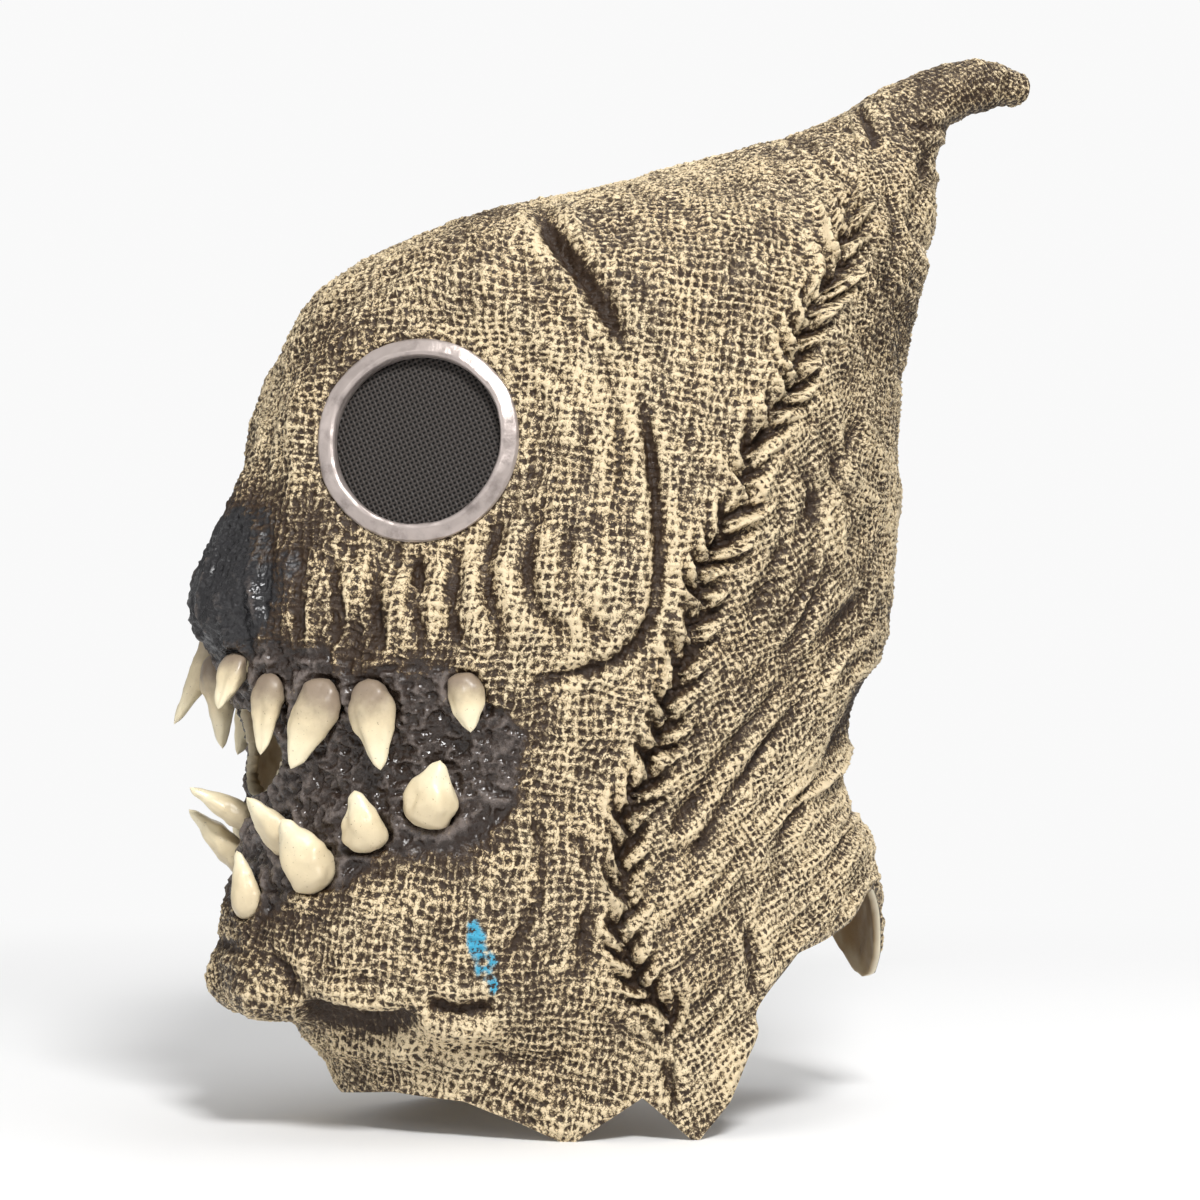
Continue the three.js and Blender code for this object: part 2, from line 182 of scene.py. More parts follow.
@dataclass(frozen=True)
class HoodForm:
    """The smooth hood: sections from the hem to the tip, eye seats and the hem line, in millimetres."""

    wall: float = 3.0
    widest_share: float = 0.56
    seat_sink: float = 3.0
    seat_blend: float = 20.0
    seat_radius: float = 46.0
    eye_around: float = 46.0
    eye_height: float = 269.0
    eye_facing: float = 60.0
    eye_lift: float = 7.0
    shoulder: float = 8.0
    tip_end: tuple[float, float] = (206.0, 425.0)
    sections: tuple[tuple[float, ...], ...] = (
        (-84, -12, 142, -12, 84, 0.1), (-92, 8, 140, 8, 86, 0.1), (-99, 26, 138, 26, 86, 0.08),
        (-108, 40, 136, 40, 87, 0.02), (-131, 50, 134, 50, 88, -0.04),
        (-138, 66, 133, 66, 90, -0.08), (-139, 86, 131, 86, 92, -0.1),
        (-134, 108, 126, 108, 94, -0.1), (-130, 132, 115, 132, 96, -0.08),
        (-131, 156, 117, 156, 99, -0.04), (-142, 180, 128, 180, 101, 0.06),
        (-148, 204, 133, 204, 102, 0.2), (-143, 230, 136, 230, 103, 0.3),
        (-131, 260, 138, 258, 103, 0.32), (-122, 286, 139, 282, 102, 0.3),
        (-112, 314, 140, 300, 100, 0.24), (-95, 334, 142, 313, 96, 0.16),
        (-66, 350, 145, 325, 89, 0.08), (-30, 363, 149, 337, 80, 0.04), (6, 372, 152, 348, 69, 0),
        (40, 381, 155, 359, 57, 0), (72, 391, 157, 370, 45, 0), (100, 399, 159, 381, 34, 0),
        (122, 409, 161, 392, 25, 0), (142, 421, 166, 402, 18, 0), (163, 430, 175, 410, 13.5, 0),
        (184, 434, 189, 415, 11, 0), (200, 431, 201, 417.5, 8.5, 0),
    )
    hem: tuple[tuple[float, float], ...] = (
        (0, 13), (25, 17), (42, 15), (52, 7), (59, -0.4), (61, -0.4), (67, 7), (75, 17), (82, -0.4),
        (83, -0.4), (90, 14), (97, 32), (103, 45), (110, 58), (117, 70), (125, 74), (135, 80),
        (145, 90), (152, 91), (160, 80), (168, 62), (175, 53), (180, 51),
    )
    lumps: tuple[tuple[tuple[float, ...], float, tuple[float, ...]], ...] = (
        ((20, -134, 60), 17, (3, -5, -5)), ((0, -150, 208), 22, (0, -3, 0)),
        ((88, -8, 211), 34, (5, 0, 0)), ((62, -72, 146), 34, (-6, 3, 0)),
        ((52, -70, 334), 24, (3, -3, 4)), ((72, -30, 88), 28, (5, -2, 0)),
    )
    table: Array = field(init=False, repr=False)
    seats: dict[Side, tuple[Array, Array]] = field(init=False, repr=False)
    shift: Array = field(init=False, repr=False)

    def __post_init__(self) -> None:
        """Sets the tables that the surface is read from, and finds the form's place in the frame."""
        object.__setattr__(self, "table", np.array(self.sections, dtype=float))
        seats = {side: self._seat(side) for side in Side}
        object.__setattr__(self, "seats", seats)
        low, high = (np.array(corner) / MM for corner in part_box("latex_hood"))
        shift = np.array([(low[0] + high[0]) / 2, high[1] - self.tip_end[0], 0.0])
        object.__setattr__(self, "shift", shift)

    def _seat(self, side: Side) -> tuple[Array, Array]:
        """Returns the centre and the outward normal of one eye's flat seat, where the form is drawn."""
        around = np.array([side.value * math.radians(self.eye_around)])
        centre = self._bare(around, self.station_at(np.array([self.eye_height])))[0]
        facing, lift = math.radians(self.eye_facing), math.radians(self.eye_lift)
        flat = np.array([side.value * math.sin(facing), -math.cos(facing)]) * math.cos(lift)
        normal = np.array([*flat, math.sin(lift)])
        return centre - self.seat_sink * normal, normal

    def station_at(self, height: Array) -> Array:
        """Returns the section numbers whose front lies at the heights, for level sections."""
        fine = np.linspace(0.0, 17.0, 800)
        return np.interp(height, smooth_rows(self.table[:, 1:2], fine)[:, 0], fine)

    def hem_at(self, around: Array) -> Array:
        """Returns the section numbers of the hem at the angles."""
        angles, heights = np.array(self.hem, dtype=float).T
        return self.station_at(np.interp(np.abs(np.degrees(around)), angles, heights))

    def _bare(self, around: Array, up: Array) -> Array:
        """Returns points of the form before its eye seats are pressed flat."""
        last = len(self.table) - 1
        front_y, front_z, back_y, back_z, half, taper = smooth_rows(self.table, np.minimum(up, last)).T
        ahead = np.cos(around)
        reach = np.where(ahead > 0, self.widest_share, 1.0 - self.widest_share)
        along = self.widest_share - ahead * reach
        narrow = 1.0 - taper * np.maximum(0.0, ahead) ** 2
        x = half * np.sin(around) * narrow
        y = front_y + (back_y - front_y) * along
        z = front_z + (back_z - front_z) * along
        points = np.stack([x, y, z], axis=1)
        over = np.clip(up - last, 0.0, 1.0) * math.pi / 2
        if over.any():
            ring = self.table[-1]
            middle = np.array([0.0, (ring[0] + ring[2]) / 2, (ring[1] + ring[3]) / 2])
            end = np.array([0.0, *self.tip_end]) - middle
            points = middle + (points - middle) * np.cos(over)[:, None] + end * np.sin(over)[:, None]
        moved = points.copy()
        for sign in (1, -1):
            for at, size, push in self.lumps:
                centre = np.array([sign * at[0], at[1], at[2]])
                share = np.exp(-((points - centre) ** 2).sum(1) / size**2)
                moved += share[:, None] * np.array([sign * push[0], push[1], push[2]])
        return moved

    def points(self, around: Array, up: Array) -> Array:
        """Returns points of the hood's smooth outside.

        Args:
            around: Angles from the front, in radians, positive to the wearer's left.
            up: Section numbers, with fractions.

        Returns:
            One point per row, in millimetres, in the frame.
        """
        points = self._bare(around, up)
        for side, (centre, normal) in self.seats.items():
            height, flat = off_axis(points, centre, normal)
            radius = np.linalg.norm(flat, axis=1)
            share = smoothstep(points @ normal, 0.0, self.seat_blend) * (points[:, 0] * side.value > 0)
            share *= 1.0 - smoothstep(radius, self.seat_radius, self.seat_radius + self.seat_blend)
            points = points - (height * share)[:, None] * normal
        return points + self.shift

    def normals(self, around: Array, up: Array) -> Array:
        """Returns the outward normals of the smooth hood at the places that points() takes."""
        step = 0.01
        last = len(self.table) - 1
        level = np.clip(up, step, last - 0.02)
        across = self.points(around + step, level) - self.points(around - step, level)
        upward = self.points(around, level + step) - self.points(around, level - step)
        return unit(np.cross(across, upward))

    def seat(self, side: Side) -> tuple[Array, Array]:
        """Returns the centre and the outward normal of one eye's seat in the frame."""
        centre, normal = self.seats[side]
        return centre + self.shift, normal


# ---------------------------------------------------------------- sculpted detail


@dataclass(frozen=True)
class Stroke:
    """A groove or a ridge along a path, the same on both sides of the mask.

    Attributes:
        path: Points as (distance back along the side, height), in millimetres.
        width: Half width of the groove.
        depth: Depth at the start and at the end. A negative depth makes a ridge.
        lip: Height of the raised shoulders beside it, as a share of the depth.
    """

    path: tuple[tuple[float, float], ...]
    width: float
    depth: tuple[float, float]
    lip: float = 0.35

    def fine_path(self, steps: int = 5) -> Array:
        """Returns the path as a smooth curve of short straight runs."""
        rough = np.array(self.path, dtype=float)
        return smooth_rows(rough, np.linspace(0.0, len(rough) - 1.0, (len(rough) - 1) * steps + 1))

    def measure(self, places: Array, reach: float) -> tuple[Array, Array, Array, float]:
        """Measures places against the path.

        Args:
            places: (distance back, height) pairs.
            reach: Places further than this from the path are left out.

        Returns:
            The numbers of the near places, their signed distances from the path, their distances
            along it, and the path's length.
        """
        path = self.fine_path()
        low, high = path.min(0) - reach, path.max(0) + reach
        near = np.flatnonzero(((places > low) & (places < high)).all(1))
        here = places[near]
        best = np.full(len(near), 1e9)
        along = np.zeros(len(near))
        sign = np.ones(len(near))
        travelled = 0.0
        for start, end in zip(path[:-1], path[1:]):
            run = end - start
            length = float(np.hypot(*run))
            t = np.clip(((here - start) @ run) / length**2, 0.0, 1.0)
            gap = here - start - t[:, None] * run
            distance = np.hypot(gap[:, 0], gap[:, 1])
            closer = distance < best
            best = np.where(closer, distance, best)
            along = np.where(closer, travelled + t * length, along)
            side = np.sign(run[0] * gap[:, 1] - run[1] * gap[:, 0])
            sign = np.where(closer, side, sign)
            travelled += length
        return near, best * sign, along, travelled

    def press(self, places: Array) -> Array:
        """Returns how far the stroke moves each place out of the surface, in millimetres."""
        moved = np.zeros(len(places))
        near, distance, along, length = self.measure(places, 4.0 * self.width)
        share = along / length
        depth = self.depth[0] + (self.depth[1] - self.depth[0]) * share
        ends = smoothstep(np.minimum(along, length - along), -1.0, 0.2 * length + 1.0)
        groove = -bell(distance, self.width)
        shoulders = self.lip * bell(np.abs(distance) - 2.0 * self.width, self.width)
        moved[near] = depth * ends * (groove + shoulders)
        return moved


SUTURE = Stroke(
    (
        (92, 372), (81, 341), (70, 316), (58, 285), (44, 254), (31, 223), (22, 193), (18, 172),
        (8, 152), (0, 122), (-4, 100), (2, 68), (9, 54), (17, 38),
    ),
    2.5,
    (4.6, 4.4),
)

STITCH_LUCK = np.random.default_rng(11).random((64, 2, 3))

CREASES = (
    Stroke(((-38, 362), (-26, 343), (-12, 322), (2, 295)), 4.2, (6.5, 2.5)),
    Stroke(((2, 295), (9, 254), (10, 210), (-2, 187), (-26, 179), (-48, 175)), 2.6, (3.6, 3.0)),
    Stroke(((-128, 51), (-112, 47), (-95, 45), (-78, 49)), 5.6, (11.0, 9.0)),
    Stroke(((-78, 56), (-66, 52), (-50, 54)), 3.6, (6.0, 5.0)),
    Stroke(((-168, 73), (-158, 73), (-146, 72)), 2.6, (3.4, 1.0)),
    Stroke(((-140, 72), (-131, 66), (-127, 54)), 3.0, (1.4, 3.4)),
    Stroke(((44, 84), (47, 66), (46, 52)), 2.8, (4.0, 3.0)),
    Stroke(((13, 32), (18, 12)), 2.4, (2.6, 2.6)),
    Stroke(((-138, 238), (-139, 214), (-141, 197)), 2.6, (2.6, 3.0)),
    Stroke(((-127, 232), (-125, 212), (-127, 190)), 2.5, (2.0, 3.0)),
    Stroke(((-113, 226), (-111, 206), (-113, 188)), 2.4, (2.2, 2.6)),
    Stroke(((-95, 226), (-96, 208), (-93, 186)), 2.9, (2.8, 3.0)),
    Stroke(((-80, 228), (-81, 206), (-76, 186)), 2.6, (2.2, 2.6)),
    Stroke(((-65, 232), (-67, 208), (-62, 184)), 2.8, (2.2, 3.0)),
    Stroke(((-50, 238), (-54, 216), (-46, 184)), 3.0, (2.4, 3.4)),
    Stroke(((-31, 246), (-38, 228), (-36, 206), (-20, 190)), 3.2, (2.4, 3.0)),
    Stroke(((-18, 238), (-24, 222), (-18, 202), (-6, 192)), 2.8, (1.8, 2.2)),
    Stroke(((-40, 302), (-23, 287), (-17, 262), (-22, 240)), 2.8, (1.4, 1.2)),
    Stroke(((-34, 322), (-10, 298), (-4, 262), (-8, 232)), 2.6, (1.2, 1.2)),
    Stroke(((-100, 328), (-74, 338), (-46, 338)), 3.2, (1.2, 1.4)),
    Stroke(((-38, 130), (-33, 108), (-38, 88), (-50, 68)), 2.8, (1.6, 1.4)),
    Stroke(((-22, 124), (-15, 98), (-20, 70)), 2.6, (1.2, 1.2)),
    Stroke(((-60, 40), (-40, 31), (-18, 36)), 3.2, (1.6, 1.4)),
    Stroke(((94, 413), (99, 400), (102, 388)), 2.4, (3.2, 2.0)),
    Stroke(((112, 402), (130, 404), (148, 412), (164, 417)), 2.2, (2.2, 1.6)),
    Stroke(((124, 396), (118, 374), (112, 350)), 3.0, (2.6, 1.6)),
    Stroke(((70, 394), (82, 380), (94, 372)), 2.6, (2.0, 1.6)),
    Stroke(((104, 378), (106, 352), (100, 326)), 2.6, (2.0, 1.4)),
    Stroke(((88, 212), (62, 178), (34, 146), (12, 112)), 3.4, (2.0, 3.0)),
    Stroke(((104, 238), (84, 200), (58, 160), (30, 120), (18, 86)), 3.2, (1.6, 2.6)),
    Stroke(((106, 190), (86, 156), (64, 124), (48, 92)), 3.2, (1.6, 2.4)),
    Stroke(((98, 300), (82, 262), (58, 226), (40, 196)), 3.2, (1.4, 2.2)),
    Stroke(((104, 140), (90, 120), (76, 98)), 3.0, (1.8, 2.2)),
)

SWELLS = (
    ((-14.0, 213.0), 17.0, 3.2), ((-160.0, 84.0), 9.0, 2.2), ((8.0, 330.0), 15.0, 2.6),
    ((-52.0, 350.0), 15.0, 2.0), ((26.0, 96.0), 12.0, 2.0), ((-147.0, 56.0), 11.0, 3.4),
    ((-62.0, 40.0), 16.0, 2.2), ((80.0, 388.0), 10.0, 2.0),
)

# Large soft changes of tone: (distance back, height), size, and how much darker it is.
TONES = (
    ((-112, 306), 17, 0.8), ((-54, 352), 14, 0.6), ((-22, 340), 12, 0.5), ((96, 316), 18, 0.5),
    ((-118, 232), 10, 0.8), ((-150, 64), 18, 0.5), ((150, 420), 22, 0.5), ((-77, 32), 24, -0.7),
    ((44, 36), 22, -0.6), ((96, 262), 32, -0.5), ((67, 132), 28, -0.7), ((-8, 281), 22, -0.5),
)


@dataclass(frozen=True)
class ToothSize:
    """One tooth: its place on the hood and its size.

    Attributes:
        around: Degrees round the hood.
        height: Height of its root, in millimetres.
        length: Root to tip, in millimetres.
        width: Widest place, in millimetres.
        lean: Degrees from upright, towards the back.
        splay: Degrees away from the latex.
    """

    around: float
    height: float
    length: float
    width: float
    lean: float
    splay: float


# Around, height, length, width, lean and splay of each tooth, in the order of their numbers.
TEETH = {
    (Row.UPPER, Side.LEFT): (
        (10, 181, 24, 13, 0, 44), (18, 171, 32, 14, -4, 28), (30, 168, 37, 18, -26, 20),
        (41, 168, 35, 17, 8, 14), (58, 174, 23, 14, 6, 12),
    ),
    (Row.UPPER, Side.RIGHT): (
        (11, 176, 38, 18, 4, 16), (20, 189, 50, 16, -4, 34), (32, 169, 36, 17, -20, 18),
        (43, 167, 34, 17, 8, 14), (58, 174, 25, 14, 6, 12),
    ),
    (Row.LOWER, Side.LEFT): (
        (10, 92, 27, 14, -14, 16), (27, 105, 31, 20, -28, 18), (38, 119, 24, 17, -14, 12),
        (50, 129, 27, 20, 14, 10), (17, 117, 28, 14, -30, 36),
    ),
    (Row.LOWER, Side.RIGHT): (
        (14, 107, 35, 17, -10, 52), (7, 122, 33, 14, -10, 66), (31, 100, 30, 19, -20, 16),
        (43, 117, 25, 17, -16, 12), (54, 128, 27, 20, 12, 10),
    ),
}


@dataclass(frozen=True)
class ToothSeat:
    """Where one tooth sits.

    Attributes:
        root: Centre of the root on the hood's surface, in millimetres.
        normal: The hood's outward normal there.
        along: Root to tip.
        out: Away from the latex, square to along.
    """

    root: Array
    normal: Array
    along: Array
    out: Array


def rotate(vector: Array, axis: Array, angle: float) -> Array:
    """Turns a vector about a unit axis by an angle in radians."""
    turned = vector * math.cos(angle) + np.cross(axis, vector) * math.sin(angle)
    return turned + axis * (axis @ vector) * (1.0 - math.cos(angle))


def seat_tooth(form: HoodForm, size: ToothSize, row: Row, side: Side) -> ToothSeat:
    """Finds a tooth's place on the hood, as the CAD model does."""
    around = np.array([side.value * math.radians(size.around)])
    up = form.station_at(np.array([size.height]))
    root = form.points(around, up)[0]
    normal = form.normals(around, up)[0]
    upright = np.array([0.0, 0.0, float(row.value)])
    upright = unit(upright - normal * (upright @ normal))
    along = rotate(upright, normal, -side.value * row.value * math.radians(size.lean))
    hinge = unit(np.cross(along, normal))
    along = rotate(along, hinge, math.radians(size.splay))
    out = rotate(normal, hinge, math.radians(size.splay))
    return ToothSeat(root, normal, along, out)


@dataclass(frozen=True)
class Mouth:
    """The open mouth, an ellipse seen from the front, in millimetres."""

    half_width: float = 26.0
    half_height: float = 17.0
    level: float = 148.0
    behind: float = -100.0

    def share(self, points: Array) -> Array:
        """Returns how far points lie from the middle of the mouth, 1 being its edge."""
        share = np.hypot(points[:, 0] / self.half_width, (points[:, 2] - self.level) / self.half_height)
        return np.where(points[:, 1] < self.behind, share, 9.0)

    def snap(self, points: Array) -> Array:
        """Moves points onto the mouth's edge, keeping how far forward they are."""
        share = self.share(points)
        moved = points.copy()
        moved[:, 0] = points[:, 0] / share
        moved[:, 2] = self.level + (points[:, 2] - self.level) / share
        return moved


@dataclass
class Relief:
    """Everything sculpted on the smooth hood: weave, folds, stitching, wrinkles and sockets."""

    form: HoodForm
    mouth: Mouth
    seats: list[tuple[ToothSeat, ToothSize]]
    thread_pitch: float = 3.4
    thread_rise: float = 1.5
    upright_rise: float = 1.3
    sweep_rise: float = 2.1
    gum_rise: float = 1.5
    lining_sink: float = 1.6
    hood_grain_angle: float = 36.0
    hood_fineness: float = 1.22
    ring_outer: float = 39.3
    ring_blend: float = 3.0
    side_view: tuple[float, float] = (0.342, 0.94)
    stitch_pitch: float = 12.5
    stitch_stagger: float = 5.0
    charts: tuple[tuple[int, int, int], ...] = ((13, 21, 400), (25, 41, 400), (49, 81, 300))

    def __post_init__(self) -> None:
        """Lays one side of the hood out flat, so that threads keep their spacing all over it.

        The lay starts from the girth and the height of each place. Springs between neighbours, as long
        as the cloth between them, then pull it into shape on finer and finer charts.
        """
        last = len(self.form.table) - 0.15
        lay = None
        for columns, rows, rounds in self.charts:
            around, up = np.meshgrid(np.linspace(0.0, math.pi, columns), np.linspace(0.0, last, rows))
            points = self.form.points(around.ravel(), up.ravel()).reshape(rows, columns, 3)
            if lay is None:
                girth = np.cumsum(np.linalg.norm(np.diff(points, axis=1), axis=2), axis=1)
                lay = np.stack([np.pad(girth, ((0, 0), (1, 0))), points[:, :, 2]], axis=2)
            else:
                lay = self._finer(lay, rows, columns)
            lay = self._relax(lay, points, rounds)
        self.lay, self.last_up = lay, last

    @staticmethod
    def _finer(lay: Array, rows: int, columns: int) -> Array:
        """Returns the lay with more rows and columns."""
        row = np.linspace(0.0, lay.shape[0] - 1.0, rows)
        column = np.linspace(0.0, lay.shape[1] - 1.0, columns)
        tall = np.stack([smooth_rows(lay[:, k], row) for k in range(lay.shape[1])], axis=1)
        return np.stack([smooth_rows(tall[k], column) for k in range(rows)], axis=0)

    @staticmethod
    def _relax(lay: Array, points: Array, rounds: int) -> Array:
        """Returns the lay after the springs between neighbours have pulled it for some rounds."""
        links = []
        for di, dj in ((0, 1), (1, 0), (1, 1), (1, -1)):
            rows, columns = lay.shape[:2]
            a = (slice(0, rows - di), slice(max(0, -dj), columns - max(0, dj)))
            b = (slice(di, rows), slice(max(0, dj), columns - max(0, -dj)))
            links.append((a, b, np.linalg.norm(points[b] - points[a], axis=2)))
        for _ in range(rounds):
            pull = np.zeros_like(lay)
            for a, b, length in links:
                gap = lay[b] - lay[a]
                now = np.maximum(np.linalg.norm(gap, axis=2), 1e-6)
                force = 0.11 * (gap * (1.0 - length / now)[..., None])
                pull[a] += force
                pull[b] -= force
            lay = lay + pull
        return lay

    def lay_at(self, around: Array, up: Array) -> Array:
        """Returns where places lie on the flat cloth, in millimetres across and up."""
        rows, columns = self.lay.shape[:2]
        column = np.abs(around) / math.pi * (columns - 1)
        row = np.clip(up / self.last_up, 0.0, 1.0) * (rows - 1)
        i = np.clip(column.astype(int), 0, columns - 2)
        j = np.clip(row.astype(int), 0, rows - 2)
        a, b = (column - i)[:, None], (row - j)[:, None]
        low = self.lay[j, i] * (1 - a) + self.lay[j, i + 1] * a
        high = self.lay[j + 1, i] * (1 - a) + self.lay[j + 1, i + 1] * a
        return low * (1 - b) + high * b

    def side_places(self, points: Array) -> Array:
        """Returns (distance back along the side, height) for points, the same on both sides."""
        back = self.side_view[0] * np.abs(points[:, 0]) + self.side_view[1] * points[:, 1]
        return np.stack([back, points[:, 2]], axis=1)

    def threads(self, points: Array, around: Array, up: Array, behind: Array) -> Array:
        """Returns each place in the cloth, counted in threads out from the middle and threads up."""
        p, q = self.lay_at(around, up).T
        angle = math.radians(self.hood_grain_angle)
        turned_p = (p * math.cos(angle) + q * math.sin(angle)) * self.hood_fineness
        turned_q = (q * math.cos(angle) - p * math.sin(angle)) * self.hood_fineness
        p = np.where(behind > 0, turned_p, p)
        q = np.where(behind > 0, turned_q, q)
        p = p + 5.0 * GRAIN.at(points, 42.0) + 1.6 * GRAIN.at(points + 9.0, 11.0)
        q = q + 5.0 * GRAIN.at(points + 50.0, 42.0) + 1.6 * GRAIN.at(points + 70.0, 11.0)
        p = p + 1.5 * GRAIN.at(points + 20.0, 4.6)
        q = q + 1.5 * GRAIN.at(points + 90.0, 4.6)
        return np.stack([p, q], axis=1) / self.thread_pitch

    @staticmethod
    def weave(threads: Array, width: Array | float = 0.27, lifts: tuple = (1.0, 1.0)) -> Array:
        """Returns the height of a plain weave from 0 in its holes to 1 on its threads.

        Args:
            threads: Places counted in threads across and threads up.
            width: Half width of a thread, as a share of the pitch.
            lifts: How far the upright and the level threads stand out.
        """
        nearest = np.round(threads)
        gap = threads - nearest
        bump = np.exp(-((gap / np.reshape(width, (-1, 1))) ** 2))
        swap = np.where(nearest % 2 == 0, 1.0, -1.0)
        warp = lifts[0] * bump[:, 0] * (0.8 + 0.2 * swap[:, 0] * np.cos(math.pi * threads[:, 1]))
        weft = lifts[1] * bump[:, 1] * (0.8 - 0.2 * swap[:, 1] * np.cos(math.pi * threads[:, 0]))
        return np.maximum(np.maximum(warp, weft), 1.0 - (1.0 - warp) * (1.0 - weft) - 0.12)

    def lining(self, places: Array, points: Array) -> Array:
        """Returns how far places lie outside the glossy cheek between the teeth, in millimetres."""
        back, height = places.T
        back = back + 6.0 * GRAIN.layers(points, 16.0, 3)
        height = height + 6.0 * GRAIN.layers(points + 40.0, 12.0, 3)
        middle = np.interp(back, (-165, -120, -86, -40), (139, 142, 147, 146))
        half = np.interp(back, (-165, -140, -110, -86, -60, -38), (52, 51, 44, 38, 34, 16))
        return np.maximum(np.abs(height - middle) - half, back + 38.0)

    def nose(self, places: Array, points: Array) -> Array:
        """Returns how far places lie from the middle of the black nose, 1 being about its edge."""
        distance = np.hypot((places[:, 0] + 156.0) / 23.0, (places[:, 1] - 212.0) / 30.0)
        return distance + 0.3 * GRAIN.layers(points, 14.0, 3)

    def sutures(self, places: Array) -> tuple[Array, Array]:
        """Returns the stitched seam's relief in millimetres, and the signed distance behind it."""
        moved = np.zeros(len(places))
        path = SUTURE.fine_path()[::-1]
        behind = places[:, 0] - np.interp(places[:, 1], path[:, 1], path[:, 0])
        near, distance, along, length = SUTURE.measure(places, 24.0)
        here = np.stack([distance, along, 0.0 * along], axis=1)
        wander = 2.2 * np.sin(along / 8.0) + 1.2 * np.sin(along / 3.7)
        distance = distance + wander * bell(distance, 16.0)
        ends = smoothstep(np.minimum(along, length - along), -2.0, 12.0)
        offset = np.abs(distance)
        rear = distance > 0
        beat = along + 0.7 * offset + 0.05 * offset**2 + 3.0 * np.sin(along / 13.0)
        beat = beat + np.where(rear, self.stitch_stagger, 0.0) + 3.4 * GRAIN.at(here, 12.0)
        phase = TURN * beat / self.stitch_pitch
        crest = np.maximum(0.0, 0.2 + 0.8 * np.cos(phase))
        number = np.round(beat / self.stitch_pitch).astype(int) % len(STITCH_LUCK)
        length_luck, place_luck, width_luck = STITCH_LUCK[number, rear * 1].T
        groove = -SUTURE.depth[0] * bell(distance, SUTURE.width) * (0.85 + 0.4 * GRAIN.at(here, 14.0))
        lobes = bell(offset - 4.0 - 2.8 * place_luck, 2.8 + 2.4 * width_luck)
        tufts = (2.6 + 3.4 * length_luck) * crest ** (1.0 + 0.2 * offset) * lobes
        tufts *= 1.0 + 0.5 * GRAIN.at(here + 60.0, 3.6)
        gaps = -3.6 * np.maximum(0.0, -np.cos(phase)) * bell(offset - 4.4, 3.2)
        bridges = 5.0 * np.maximum(0.0, np.cos(phase + 1.2)) ** 14 * bell(distance, 3.2)
        puckers = 1.5 * GRAIN.at(here + 30.0, 6.0) * bell(offset - 13.0, 5.0)
        swell = 1.6 * bell(offset - 9.0, 7.0)
        moved[near] = ends * (groove + tufts + gaps + bridges + puckers + swell)
        return moved, behind

    def sockets(self, points: Array) -> tuple[Array, Array]:
        """Returns the gums' relief in millimetres round the teeth, and how near the gums are."""
        moved = np.zeros(len(points))
        gums = np.zeros(len(points))
        for seat, size in self.seats:
            offset = points - seat.root
            near = np.flatnonzero((offset**2).sum(1) < (0.9 * size.length + 8.0) ** 2)
            offset = offset[near]
            flat = unit(seat.along - seat.normal * (seat.along @ seat.normal))
            across = np.cross(seat.normal, flat)
            ahead = offset @ flat
            reach = np.where(ahead > 0, 0.42 * size.length, 0.34 * size.length)
            share = np.hypot(ahead / reach, (offset @ across) / (0.53 * size.width))
            rim = bell(share - 1.25, 0.22) * smoothstep(ahead, 0.5 * size.length, 0.0)
            moved[near] += self.gum_rise * rim - 1.2 * smoothstep(share, 1.05, 0.75)
            gums[near] = np.maximum(gums[near], smoothstep(share, 1.9, 1.1))
        return moved, gums

    def wrinkles(self, places: Array, points: Array, behind: Array) -> Array:
        """Returns the wrinkles of the cloth in millimetres: upright on the face, swept on the hood."""
        out = np.abs(points[:, 0])
        back = places[:, 0] + self.side_view[0] * (np.hypot(out, 14.0) - out)
        height = places[:, 1]
        face = points * np.array([1.0, 1.0, 0.34])
        upright = 1.0 - 1.9 * np.abs(GRAIN.layers(face, 13.0, 2))
        below_eye = bell(height - 207.0, 26.0) * smoothstep(back, 12.0, -8.0)
        lean = np.radians(np.interp(height, (60, 140, 220, 330, 400), (62, 50, 54, 70, 84)))
        across = back * np.sin(lean) - height * np.cos(lean) + 9.0 * GRAIN.at(points, 34.0)
        down = back * np.cos(lean) + height * np.sin(lean)
        left = smoothstep(points[:, 0], -14.0, 14.0)
        sweep = np.zeros(len(back))
        for shift, share in ((50.0, left), (-50.0, 1.0 - left)):
            swept = np.stack([across, 0.2 * down, np.full(len(back), shift)], axis=1)
            sweep += share * (1.0 - 1.9 * np.abs(GRAIN.layers(swept, 10.0, 2)))
        sweep = np.maximum(sweep, -0.3 - 0.7 * smoothstep(out, 30.0, 60.0))
        hood = smoothstep(behind, 8.0, 24.0)
        face_share = 0.55 + 1.1 * below_eye
        upright *= self.upright_rise * face_share
        return (1.0 - hood) * upright + hood * self.sweep_rise * sweep

    def seat_share(self, smooth: Array) -> Array:
        """Returns 0 under the eye rings and 1 away from them."""
        share = np.ones(len(smooth))
        for side in Side:
            height, flat = off_axis(smooth, *self.form.seat(side))
            radius = np.linalg.norm(flat, axis=1)
            near = (smooth[:, 0] * side.value > 0) & (np.abs(height) < 25.0)
            away = smoothstep(radius, self.ring_outer - 0.3, self.ring_outer + self.ring_blend)
            share = np.where(near, away, share)
        return share

